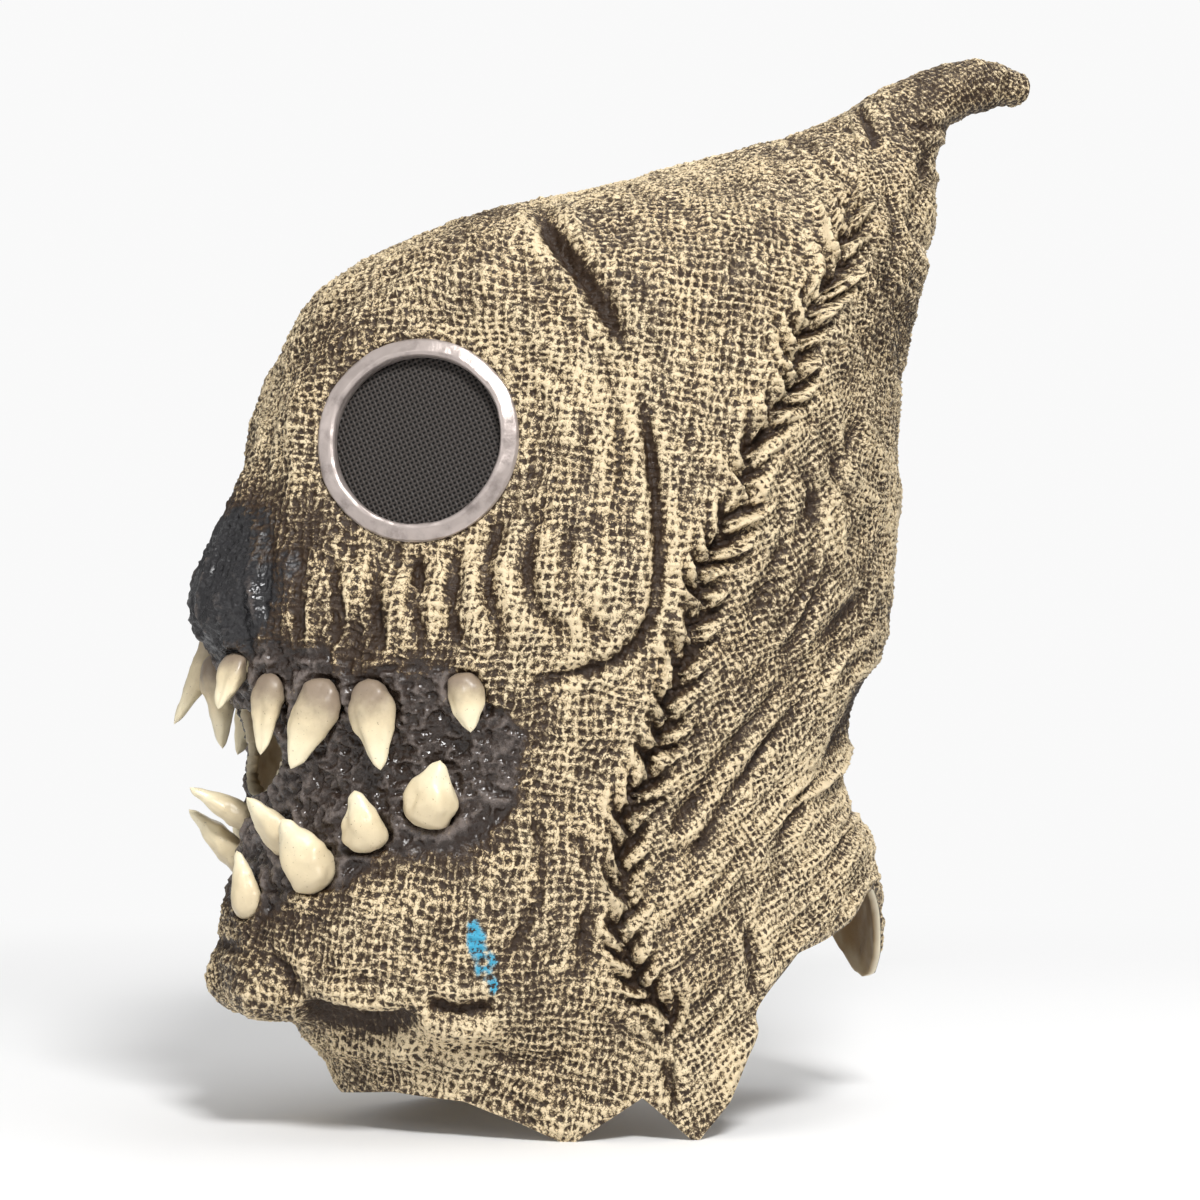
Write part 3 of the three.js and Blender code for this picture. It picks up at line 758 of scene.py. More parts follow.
    def apply(self, around: Array, up: Array) -> tuple[Array, Array, dict[str, Array]]:
        """Sculpts places of the hood.

        Args:
            around: Angles from the front, in radians.
            up: Section numbers, with fractions.

        Returns:
            The sculpted points and the height of their relief, in millimetres, and the values that
            the latex finish reads.
        """
        smooth = self.form.points(around, up)
        normals = self.form.normals(around, up)
        places = self.side_places(smooth)
        seam, behind = self.sutures(places)
        edge, snout = self.lining(places, smooth), self.nose(places, smooth)
        lining, nose = smoothstep(edge, 3.0, -7.0), smoothstep(snout, 1.4, 0.5)
        gum_relief, gums = self.sockets(smooth)
        stained = np.maximum(smoothstep(edge, 17.0, -3.0), smoothstep(snout, 2.6, 0.8))
        gums = np.maximum(0.5 * gums, stained)
        folds = seam + sum(stroke.press(places) for stroke in CREASES)
        for centre, size, rise in SWELLS:
            folds += rise * bell(np.hypot(*(places - centre).T), size)
        folds += self.wrinkles(places, smooth, behind) + 0.9 * GRAIN.layers(smooth, 24.0, 2)
        bare = np.maximum(0.9 * lining, 0.9 * nose * smoothstep(places[:, 1], 226.0, 204.0))
        threads = self.threads(smooth, around, up, behind)
        lifts = tuple(0.92 + 0.42 * GRAIN.at(smooth + shift, 6.0) for shift in (80.0, 130.0))
        cloth = self.weave(threads, 0.27 + 0.09 * GRAIN.at(smooth + 35.0, 5.0), lifts)
        matted = smoothstep(GRAIN.layers(smooth + 60.0, 8.0, 2), 0.2, 0.9)
        rise = self.thread_rise * (cloth - 0.5) * (1.0 - 0.5 * matted) + 0.5 * GRAIN.at(smooth, 1.9)
        crinkle = 1.0 - np.abs(GRAIN.layers(smooth * np.array([1.0, 1.0, 1.7]) + 15.0, 9.0, 3))
        fine = 1.0 - np.abs(GRAIN.layers(smooth + 77.0, 3.4, 2))
        skin = (2.6 * (crinkle - 0.6) + 1.7 * (fine - 0.6)) * (1.0 - 0.45 * nose)
        moved = folds + rise * (1.0 - bare) + skin * bare + gum_relief - self.lining_sink * lining
        moved += 1.6 * bell((self.mouth.share(smooth) - 1.12) * self.mouth.half_height, 3.0)
        flat = self.seat_share(smooth)
        moved = moved * flat - 0.25 * (1.0 - flat)
        moved *= smoothstep(up - self.form.hem_at(around), -0.02, 0.22)
        moved = (moved - 0.4) * np.interp(up, (20.0, 25.0), (1.0, 0.55)) + 0.4
        points = smooth + moved[:, None] * normals
        points[:, 2] = np.maximum(points[:, 2], 0.0)
        # The drybrush value takes painted shade and painted highlight: darker in the grooves of folds,
        # lighter on their ridges.
        patches = 0.42 * GRAIN.layers(smooth + 5.0, 30.0, 3) + 0.3 * np.tanh(folds / 2.5)
        # Painted shade: the hood behind the seam is darkened.
        patches -= 0.10 * smoothstep(behind, 0.0, 20.0)
        for centre, size, darker in TONES:
            patches -= darker * bell(np.hypot(*(places - centre).T), size)
        blue = self._flecks(places, smooth)
        values = {"threads": threads, "dry": patches, "bare": lining, "nose": nose}
        # The deepest folds are darkened in the finish with stain and painted shade.
        values |= {"gums": gums, "blue": blue, "deep": smoothstep(folds, -0.8, -3.2)}
        return points, moved, values

    @staticmethod
    def _flecks(places: Array, points: Array) -> Array:
        """Returns where stray blue paint lies on the wearer's left jaw, from 0 to 1."""
        smear = Stroke(((-62, 90), (-58, 83), (-56, 73), (-54, 66), (-55, 56)), 5.0, (1.0, 1.0), 0.0)
        ragged = -smear.press(places) * (1.0 + 0.8 * GRAIN.layers(points + 33.0, 5.0, 3))
        return smoothstep(ragged, 0.45, 0.7) * (points[:, 0] > 0)


# ---------------------------------------------------------------- node helpers


class Tree:
    """Adds nodes to one node tree and joins them."""

    def __init__(self, tree: bpy.types.NodeTree) -> None:
        """Takes the tree that the nodes go into."""
        self.tree = tree

    def add(self, kind: str, inputs: dict | None = None, **settings: object) -> bpy.types.Node:
        """Adds a node.

        Args:
            kind: The node's type, without its ShaderNode prefix where it has one.
            inputs: Input names or numbers, and the value or the output that each takes.
            settings: Properties of the node.

        Returns:
            The node.
        """
        full = kind if kind.startswith("Node") else f"ShaderNode{kind}"
        node = self.tree.nodes.new(full)
        for name, value in settings.items():
            setattr(node, name, value)
        for name, value in (inputs or {}).items():
            if isinstance(value, bpy.types.NodeSocket):
                self.tree.links.new(value, node.inputs[name])
            else:
                node.inputs[name].default_value = value
        return node

    def math(self, operation: str, *values: object) -> bpy.types.NodeSocket:
        """Adds a Math node and returns its result."""
        return self.add("Math", dict(enumerate(values)), operation=operation).outputs[0]

    def total(self, *parts: tuple[object, float], start: float = 0.0) -> bpy.types.NodeSocket:
        """Adds up values, each taken a number of times.

        Args:
            parts: (value, times) pairs.
            start: What the sum starts from.

        Returns:
            The sum.
        """
        result: object = start
        for value, times in parts:
            result = self.math("MULTIPLY_ADD", value, times, result)
        return result

    def vector(self, operation: str, *values: object, **named: float) -> bpy.types.NodeSocket:
        """Adds a Vector Math node and returns its result."""
        inputs = {**dict(enumerate(values)), **named}
        return self.add("VectorMath", inputs, operation=operation).outputs[0]

    def mix(self, share: object, a: object, b: object) -> bpy.types.NodeSocket:
        """Mixes two colours and returns the result."""
        node = self.add("Mix", {0: share, 6: a, 7: b}, data_type="RGBA")
        return node.outputs[2]

    def ease(
        self, value: object, low: float, high: float, to: tuple = (0.0, 1.0)
    ) -> bpy.types.NodeSocket:
        """Maps a value smoothly from a range to another, clamped, and returns the result."""
        inputs = {0: value, 1: low, 2: high, 3: to[0], 4: to[1]}
        return self.add("MapRange", inputs, interpolation_type="SMOOTHSTEP").outputs[0]

    def noise(self, place: object, scale: float, detail: float = 3.0) -> bpy.types.NodeSocket:
        """Adds a Noise Texture and returns its value."""
        inputs = {"Vector": place, "Scale": scale, "Detail": detail, "Roughness": 0.6}
        return self.add("TexNoise", inputs).outputs[0]

    def value(self, name: str) -> bpy.types.NodeSocket:
        """Reads a value that the mesh carries."""
        return self.add("Attribute", attribute_name=name).outputs["Fac"]

    def place(self) -> bpy.types.NodeSocket:
        """Returns Object coordinates."""
        return self.add("TexCoord").outputs["Object"]


def new_group(
    name: str, inputs: dict[str, str], outputs: dict[str, str]
) -> tuple[Tree, object, object]:
    """Makes an empty shader node group.

    Args:
        name: The group's name.
        inputs: Input names and their socket types, such as Float.
        outputs: Output names and their socket types.

    Returns:
        The tree to add to, its input node and its output node.
    """
    tree = bpy.data.node_groups.new(name, "ShaderNodeTree")
    for sockets, way in ((inputs, "INPUT"), (outputs, "OUTPUT")):
        for label, kind in sockets.items():
            tree.interface.new_socket(label, in_out=way, socket_type=f"NodeSocket{kind}")
    nodes = Tree(tree)
    return nodes, nodes.add("NodeGroupInput"), nodes.add("NodeGroupOutput")


def weave_group() -> bpy.types.NodeTree:
    """Makes the plain weave, from places counted in threads to the height of the threads."""
    sockets = {"Threads": "Vector", "Width": "Float"}
    nodes, source, result = new_group("Plain weave", sockets, {"Height": "Float"})
    across, up, _ = nodes.add("SeparateXYZ", {0: source.outputs["Threads"]}).outputs
    heights = []
    for own, other, sign in ((across, up, 1.0), (up, across, -1.0)):
        nearest = nodes.math("ROUND", own)
        gap = nodes.math("SUBTRACT", own, nearest)
        ratio = nodes.math("DIVIDE", gap, source.outputs["Width"])
        square = nodes.math("MULTIPLY", ratio, ratio)
        bump = nodes.math("EXPONENT", nodes.math("MULTIPLY", square, -1.0))
        swap = nodes.math("COSINE", nodes.math("MULTIPLY", nearest, math.pi))
        wave = nodes.math("COSINE", nodes.math("MULTIPLY", other, math.pi))
        over = nodes.math("MULTIPLY", nodes.math("MULTIPLY", swap, wave), 0.2 * sign)
        heights.append(nodes.math("MULTIPLY", bump, nodes.math("ADD", over, 0.8)))
    holes = nodes.math("MULTIPLY", *(nodes.math("SUBTRACT", 1.0, height) for height in heights))
    joined = nodes.math("SUBTRACT", 0.88, holes)
    height = nodes.math("MAXIMUM", nodes.math("MAXIMUM", *heights), joined)
    nodes.tree.links.new(height, result.inputs[0])
    return nodes.tree


def speckle_group() -> bpy.types.NodeTree:
    """Makes ragged specks from two sizes of noise, and thin cracks between them."""
    sockets = {"Specks": "Float", "Cracks": "Float"}
    nodes, source, result = new_group("Paint specks", {"Place": "Vector", "Size": "Float"}, sockets)
    layers = []
    for times, detail in ((1.0, 4.0), (3.7, 2.0), (1.15, 3.0)):
        scale = nodes.math("MULTIPLY", source.outputs[1], times)
        inputs = {"Vector": source.outputs[0], "Scale": scale, "Detail": detail}
        layers.append(nodes.add("TexNoise", inputs).outputs[0])
    coarse, fine, vein = layers
    nodes.tree.links.new(nodes.total((coarse, 1.0), (fine, 0.6), start=-0.8), result.inputs[0])
    apart = nodes.math("ABSOLUTE", nodes.math("SUBTRACT", vein, 0.5))
    nodes.tree.links.new(nodes.ease(apart, 0.085, 0.015), result.inputs[1])
    return nodes.tree


class Finish:
    """Base of the finishes. Each makes its material once."""

    label = "finish"

    def __init__(self, groups: dict[str, bpy.types.NodeTree]) -> None:
        """Makes the material.

        Args:
            groups: The shader groups that finishes share.
        """
        self.groups = groups
        self.material = bpy.data.materials.new(self.label)
        self.material.use_nodes = True
        self.nodes = Tree(self.material.node_tree)
        self.shader = self.material.node_tree.nodes["Principled BSDF"]
        self.paint()

    def weave(self, threads: bpy.types.NodeSocket, width: object) -> bpy.types.NodeSocket:
        """Places the shared weave and returns the height of its threads."""
        inputs = {"Threads": threads, "Width": width}
        return self.nodes.add("Group", inputs, node_tree=self.groups["weave"]).outputs[0]

    def specks(self, place: bpy.types.NodeSocket, size: float) -> list[bpy.types.NodeSocket]:
        """Places the shared specks and returns their height and the cracks between them."""
        inputs = {"Place": place, "Size": size}
        return self.nodes.add("Group", inputs, node_tree=self.groups["specks"]).outputs[:2]

    def wear(
        self, color: object, roughness: object, height: object, strength: float, rise: float
    ) -> None:
        """Joins colour, roughness and bump height to the shader."""
        links = self.nodes.tree.links
        links.new(color, self.shader.inputs["Base Color"])
        links.new(roughness, self.shader.inputs["Roughness"])
        bump = self.nodes.add("Bump", {"Height": height, "Strength": strength, "Distance": rise})
        links.new(bump.outputs[0], self.shader.inputs["Normal"])

    def paint(self) -> None:
        """Adds the finish's nodes."""
        raise NotImplementedError


class SackLatex(Finish):
    """Cast latex sacking: dark stain in the weave, tan drybrushed on the threads, with painted
    highlight on ridges and painted shade in hollows.
    """

    label = "sack_latex"
    straw = (0.74, 0.605, 0.395, 1.0)
    tan = (0.49, 0.375, 0.215, 1.0)
    olive = (0.30, 0.235, 0.14, 1.0)
    stain = (0.030, 0.015, 0.006, 1.0)
    umber = (0.125, 0.085, 0.046, 1.0)
    cheek = (0.028, 0.019, 0.015, 1.0)
    cheek_wash = (0.17, 0.14, 0.125, 1.0)
    soot = (0.020, 0.020, 0.022, 1.0)
    azure = (0.045, 0.34, 0.52, 1.0)

    def paint(self) -> None:
        """Adds the nodes."""
        n = self.nodes
        place = n.place()
        threads = n.add("UVMap", uv_map="Threads").outputs[0]
        jitter = n.add("TexNoise", {"Vector": place, "Scale": 480.0, "Detail": 3.0}).outputs["Color"]
        jitter = n.vector("SUBTRACT", jitter, (0.5, 0.5, 0.5))
        bent = n.vector("ADD", threads, n.vector("SCALE", jitter, Scale=1.1))
        width = n.ease(n.noise(place, 150.0), 0.3, 0.7, (0.20, 0.42))
        cloth = self.weave(bent, width)
        strands = self.weave(n.vector("SCALE", bent, Scale=2.6), 0.34)
        specks, cracks = self.specks(place, 520.0)
        patches = n.noise(place, 60.0, 4.0)
        shift = n.math("SUBTRACT", patches, 0.5)
        # The drybrush value lightens ridges and darkens hollows: drybrushed paint with painted
        # highlight and painted shade.
        dry, bare, nose = (n.value(name) for name in ("dry", "bare", "nose"))
        brushed = ((cloth, 0.78), (strands, 0.22), (specks, 1.25), (dry, 0.42), (shift, 0.5))
        holes = n.total((cloth, 1.5), (specks, 1.3), (dry, 0.16), (shift, 0.9), start=0.14)
        raised = n.math("MINIMUM", n.total(*brushed, start=0.14), holes)
        # Dark paint on the lining, nose and gums; stain and painted shade in the deepest folds.
        stains_and_shade = ((bare, -0.53), (nose, -0.68), (n.value("gums"), -0.45), (n.value("deep"), -0.5))
        reach = n.total((cracks, -0.5), *stains_and_shade, start=raised)
        ground = n.mix(n.ease(reach, 0.12, 0.55), self.stain, self.umber)
        tone = n.mix(n.ease(patches, 0.38, 0.62), self.olive, self.tan)
        color = n.mix(n.ease(reach, 0.52, 0.68), ground, tone)
        color = n.mix(n.ease(reach, 0.74, 1.02), color, self.straw)
        relief = n.total((dry, 0.55), start=specks)
        wash = n.mix(n.ease(relief, -0.1, 0.75), self.cheek, self.cheek_wash)
        soot = n.mix(n.ease(relief, 0.2, 1.1), self.soot, self.cheek_wash)
        for area, low, shade in ((bare, 0.05, wash), (nose, 0.0, soot)):
            painted = n.ease(n.total((raised, -0.42), start=area), low, 0.45, (0.0, 0.94))
            color = n.mix(painted, color, shade)
        color = n.mix(n.math("MULTIPLY", n.value("blue"), n.ease(reach, 0.15, 0.45)), color, self.azure)
        shine = n.ease(n.noise(place, 500.0), 0.35, 0.65, (0.36, 0.58))
        slick = n.math("MAXIMUM", bare, nose)
        rough = n.total((n.ease(reach, 0.4, 0.8), 0.04), (slick, -0.30), start=shine)
        coarse = n.total((cloth, 0.45), (specks, 0.85), (strands, 0.35))
        creped = n.math("MULTIPLY", n.noise(place, 230.0, 2.0), 2.2)
        height = n.math("MULTIPLY", coarse, n.total((slick, -0.85), start=1.0))
        height = n.total((creped, slick), start=height)
        self.wear(color, rough, height, 0.75, 0.0008)
        self.shader.inputs["Specular IOR Level"].default_value = 0.4


class RawLatex(Finish):
    """The unpainted inside of the latex, cream and tan where it pooled, darkened as painted shade."""

    label = "raw_latex"
    # Both colours are darkened as painted shade for the shaded inside of the hood.
    cream = (0.62, 0.50, 0.31, 1.0)
    amber = (0.30, 0.19, 0.085, 1.0)
    edge = (0.86, 0.78, 0.60, 1.0)

    def paint(self) -> None:
        """Adds the nodes."""
        n = self.nodes
        place = n.place()
        pools = n.ease(n.noise(place, 22.0, 4.0), 0.38, 0.66)
        color = n.mix(pools, self.cream, self.amber)
        color = n.mix(n.value("cut"), color, self.edge)
        rough = n.ease(n.noise(place, 90.0), 0.3, 0.7, (0.45, 0.7))
        self.wear(color, rough, self.specks(place, 240.0)[0], 0.4, 0.0006)


class Ivory(Finish):
    """Hard cast teeth: ivory tips, roots darkened with stain and painted shade, fine pits under a satin
    varnish.
    """

    label = "ivory_teeth"
    tip = (0.80, 0.71, 0.50, 1.0)
    body = (0.70, 0.585, 0.38, 1.0)
    # The root colour: stain with painted shade, strongest on the upper teeth.
    root = (0.25, 0.19, 0.135, 1.0)
    pit = (0.13, 0.08, 0.045, 1.0)

    def paint(self) -> None:
        """Adds the nodes."""
        n = self.nodes
        place = n.place()
        along = n.value("along")
        streaks = n.noise(place, 130.0, 4.0)
        line = n.total((n.math("SUBTRACT", streaks, 0.5), 0.35), start=along)
        color = n.mix(n.ease(line, 0.45, 0.9), self.body, self.tip)
        # Roots darken with stain and painted shade.
        stained = n.math("MULTIPLY", n.ease(line, 0.60, 0.12), n.value("stained"))
        color = n.mix(stained, color, self.root)
        pits = n.ease(n.noise(place, 900.0, 2.0), 0.66, 0.74)
        color = n.mix(n.math("MULTIPLY", pits, 0.55), color, self.pit)
        rough = n.ease(streaks, 0.3, 0.7, (0.32, 0.50))
        self.wear(color, rough, self.specks(place, 300.0)[0], 0.35, 0.0004)
        self.shader.inputs["Coat Weight"].default_value = 0.12
        self.shader.inputs["Coat Roughness"].default_value = 0.25


class SilverPaint(Finish):
    """Brushed-on silver over the eye rings, with darker worn spots."""

    label = "silver_paint"
    silver = (0.47, 0.405, 0.375, 1.0)
    worn = (0.17, 0.14, 0.13, 1.0)

    def paint(self) -> None:
        """Adds the nodes."""
        n = self.nodes
        place = n.place()
        blots = n.ease(n.noise(place, 110.0, 5.0), 0.45, 0.75)
        color = n.mix(n.math("MULTIPLY", blots, 0.7), self.silver, self.worn)
        rough = n.ease(n.noise(place, 260.0), 0.3, 0.7, (0.30, 0.46))
        self.wear(color, rough, self.specks(place, 350.0)[0], 0.3, 0.0004)
        self.shader.inputs["Metallic"].default_value = 0.55


class BlackMesh(Finish):
    """Black woven eye screen, its gaps painted near black as painted shade."""

    label = "black_mesh"
    thread = (0.046, 0.039, 0.035, 1.0)
    # The gaps between threads are painted shade: the dark inside of the hood seen through the weave.
    gap = (0.004, 0.004, 0.004, 1.0)

    def paint(self) -> None:
        """Adds the nodes."""
        n = self.nodes
        threads = n.add("UVMap", uv_map="Threads").outputs[0]
        cloth = self.weave(threads, 0.30)
        color = n.mix(n.ease(cloth, 0.25, 0.7), self.gap, self.thread)
        rough = n.ease(cloth, 0.2, 0.9, (0.8, 0.42))
        self.wear(color, rough, cloth, 0.8, 0.0004)
        self.shader.inputs["Specular IOR Level"].default_value = 0.2


class DriedGlue(Finish):
    """Yellowed latex glue."""

    label = "dried_glue"
    clear = (0.70, 0.58, 0.34, 1.0)
    cloudy = (0.82, 0.74, 0.54, 1.0)

    def paint(self) -> None:
        """Adds the nodes."""
        n = self.nodes
        place = n.place()
        color = n.mix(n.noise(place, 180.0), self.clear, self.cloudy)
        rough = n.ease(n.noise(place, 300.0), 0.3, 0.7, (0.25, 0.5))
        self.wear(color, rough, self.specks(place, 200.0)[0], 0.4, 0.0005)


class StudioFloor(Finish):
    """The plain pale floor, which fades into the backdrop away from the mask."""

    label = "studio_floor"
    light = (0.90, 0.90, 0.90, 1.0)
    shade = (0.86, 0.86, 0.86, 1.0)
    near = 0.42
    far = 0.95

    def paint(self) -> None:
        """Adds the nodes."""
        n = self.nodes
        place = n.place()
        cloud = n.noise(place, 1.5)
        color = n.mix(cloud, self.light, self.shade)
        self.wear(color, n.ease(cloud, 0.0, 1.0, (0.8, 0.9)), cloud, 0.0, 0.001)
        away = n.add("VectorMath", {0: place}, operation="LENGTH").outputs["Value"]
        seen = n.add("LightPath").outputs["Is Camera Ray"]
        glow = n.add("Emission", {"Strength": n.ease(seen, 0.0, 1.0, (0.42, 0.95))})
        blend = n.add("MixShader", {0: n.ease(away, self.near, self.far)})
        n.tree.links.new(self.shader.outputs[0], blend.inputs[1])
        n.tree.links.new(glow.outputs[0], blend.inputs[2])
        n.tree.links.new(blend.outputs[0], n.tree.nodes["Material Output"].inputs["Surface"])


# ---------------------------------------------------------------- meshes


def store(mesh: bpy.types.Mesh, points: Array) -> None:
    """Moves the mesh's vertices to points in millimetres."""
    mesh.vertices.foreach_set("co", np.ascontiguousarray(points * MM, dtype=np.float32).ravel())
    mesh.update()


def finished(shape: bmesh.types.BMesh, mesh: bpy.types.Mesh | str) -> bpy.types.Mesh:
    """Writes a bmesh to a mesh, or to a new mesh of that name, and frees it."""
    mesh = bpy.data.meshes.new(mesh) if isinstance(mesh, str) else mesh
    shape.to_mesh(mesh)
    shape.free()
    return mesh


def read(mesh: bpy.types.Mesh) -> Array:
    """Returns the mesh's vertices as they are, one per row."""
    points = np.empty(3 * len(mesh.vertices), dtype=np.float32)
    mesh.vertices.foreach_get("co", points)
    return points.reshape(-1, 3).astype(float)


def set_values(mesh: bpy.types.Mesh, name: str, values: Array) -> None:
    """Stores one value per vertex for the finishes to read."""
    layer = mesh.attributes.new(name, "FLOAT", "POINT")
    layer.data.foreach_set("value", np.ascontiguousarray(values, dtype=np.float32))


def set_uv(mesh: bpy.types.Mesh, name: str, places: Array) -> None:
    """Stores one UV per vertex on all the corners that meet there."""
    corners = np.empty(len(mesh.loops), dtype=np.int32)
    mesh.loops.foreach_get("vertex_index", corners)
    layer = mesh.uv_layers.new(name=name)
    layer.data.foreach_set("uv", np.ascontiguousarray(places[corners], dtype=np.float32).ravel())


def sheet(name: str, columns: int, rows: int) -> tuple[bpy.types.Mesh, Array, Array]:
    """Makes a flat grid to be moved into shape.

    Args:
        name: The mesh's name.
        columns: Faces across.
        rows: Faces up.

    Returns:
        The mesh, and each vertex's share of the way across and of the way up.
    """
    shape = bmesh.new()
    bmesh.ops.create_grid(shape, x_segments=columns, y_segments=rows, size=1.0)
    mesh = finished(shape, name)
    flat = read(mesh)
    return mesh, (flat[:, 0] + 1.0) / 2.0, (flat[:, 1] + 1.0) / 2.0


def in_rows(across: Array, share: Array) -> tuple[Array, int]:
    """Returns the order that puts a sheet's vertices in rows, and how many there are in a row."""
    across = across.round(6)
    return np.lexsort((across, share.round(6))), len(np.unique(across))


def drop(shape: bmesh.types.BMesh, lost: Array) -> None:
    """Deletes a bmesh's faces whose corners are all marked, and what only they used."""
    doomed = [face for face in shape.faces if all(lost[vert.index] for vert in face.verts)]
    bmesh.ops.delete(shape, geom=doomed, context="FACES")


def cut(mesh: bpy.types.Mesh, lost: Array, weld: float = 0.0) -> None:
    """Deletes the faces whose corners are all marked, and what only they used.

    Args:
        mesh: The mesh to cut.
        lost: One mark per vertex.
        weld: Vertices closer than this are merged, in metres.
    """
    shape = bmesh.new()
    shape.from_mesh(mesh)
    drop(shape, lost)
    if weld:
        bmesh.ops.remove_doubles(shape, verts=shape.verts, dist=weld)
    finished(shape, mesh)


def spun(name: str, profile: list[tuple[float, float]], steps: int, closed: bool) -> bpy.types.Mesh:
    """Spins a profile about Y.

    Args:
        name: The mesh's name.
        profile: (radius, place along Y) pairs in millimetres.
        steps: Steps round the axis.
        closed: Joins the profile's end to its start.

    Returns:
        The mesh, in millimetres.
    """
    shape = bmesh.new()
    verts = [shape.verts.new((radius, along, 0.0)) for radius, along in profile]
    pairs = list(zip(verts[:-1], verts[1:])) + ([(verts[-1], verts[0])] if closed else [])
    edges = [shape.edges.new(pair) for pair in pairs]
    axis = {"cent": (0, 0, 0), "axis": (0, 1, 0)}
    bmesh.ops.spin(shape, geom=verts + edges, angle=TURN, steps=steps, use_merge=True, **axis)
    bmesh.ops.remove_doubles(shape, verts=shape.verts, dist=1e-4)
    bmesh.ops.recalc_face_normals(shape, faces=shape.faces)
    return finished(shape, name)


def add_piece(
    name: str, mesh: bpy.types.Mesh, finish: Finish, slot: str, *nodes: str
) -> bpy.types.Object:
    """Puts a finished mesh into the model.

    Args:
        name: The piece's name.
        mesh: Its mesh, in metres.
        finish: Its finish.
        slot: The record's material slot; it is not used.
        nodes: CAD nodes that it replaces.

    Returns:
        The piece.
    """
    mesh.shade_smooth()
    piece = bpy.data.objects.new(name, mesh)
    bpy.context.scene.collection.objects.link(piece)
    mesh.materials.clear()
    mesh.materials.append(finish.material)
    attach(piece, BODY)
    if nodes:
        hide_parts(*nodes)
    LOG.info("%s: %d faces", name, len(mesh.polygons))
    return piece


# ---------------------------------------------------------------- the hood


@dataclass(frozen=True)
class Panel:
    """One panel of the hood's painted outside, from one angle to the next.

    Attributes:
        label: What it covers.
        start: First angle from the front, in degrees.
        end: Last angle.
        columns: Faces across.
    """

    label: str
    start: float
    end: float
    columns: int


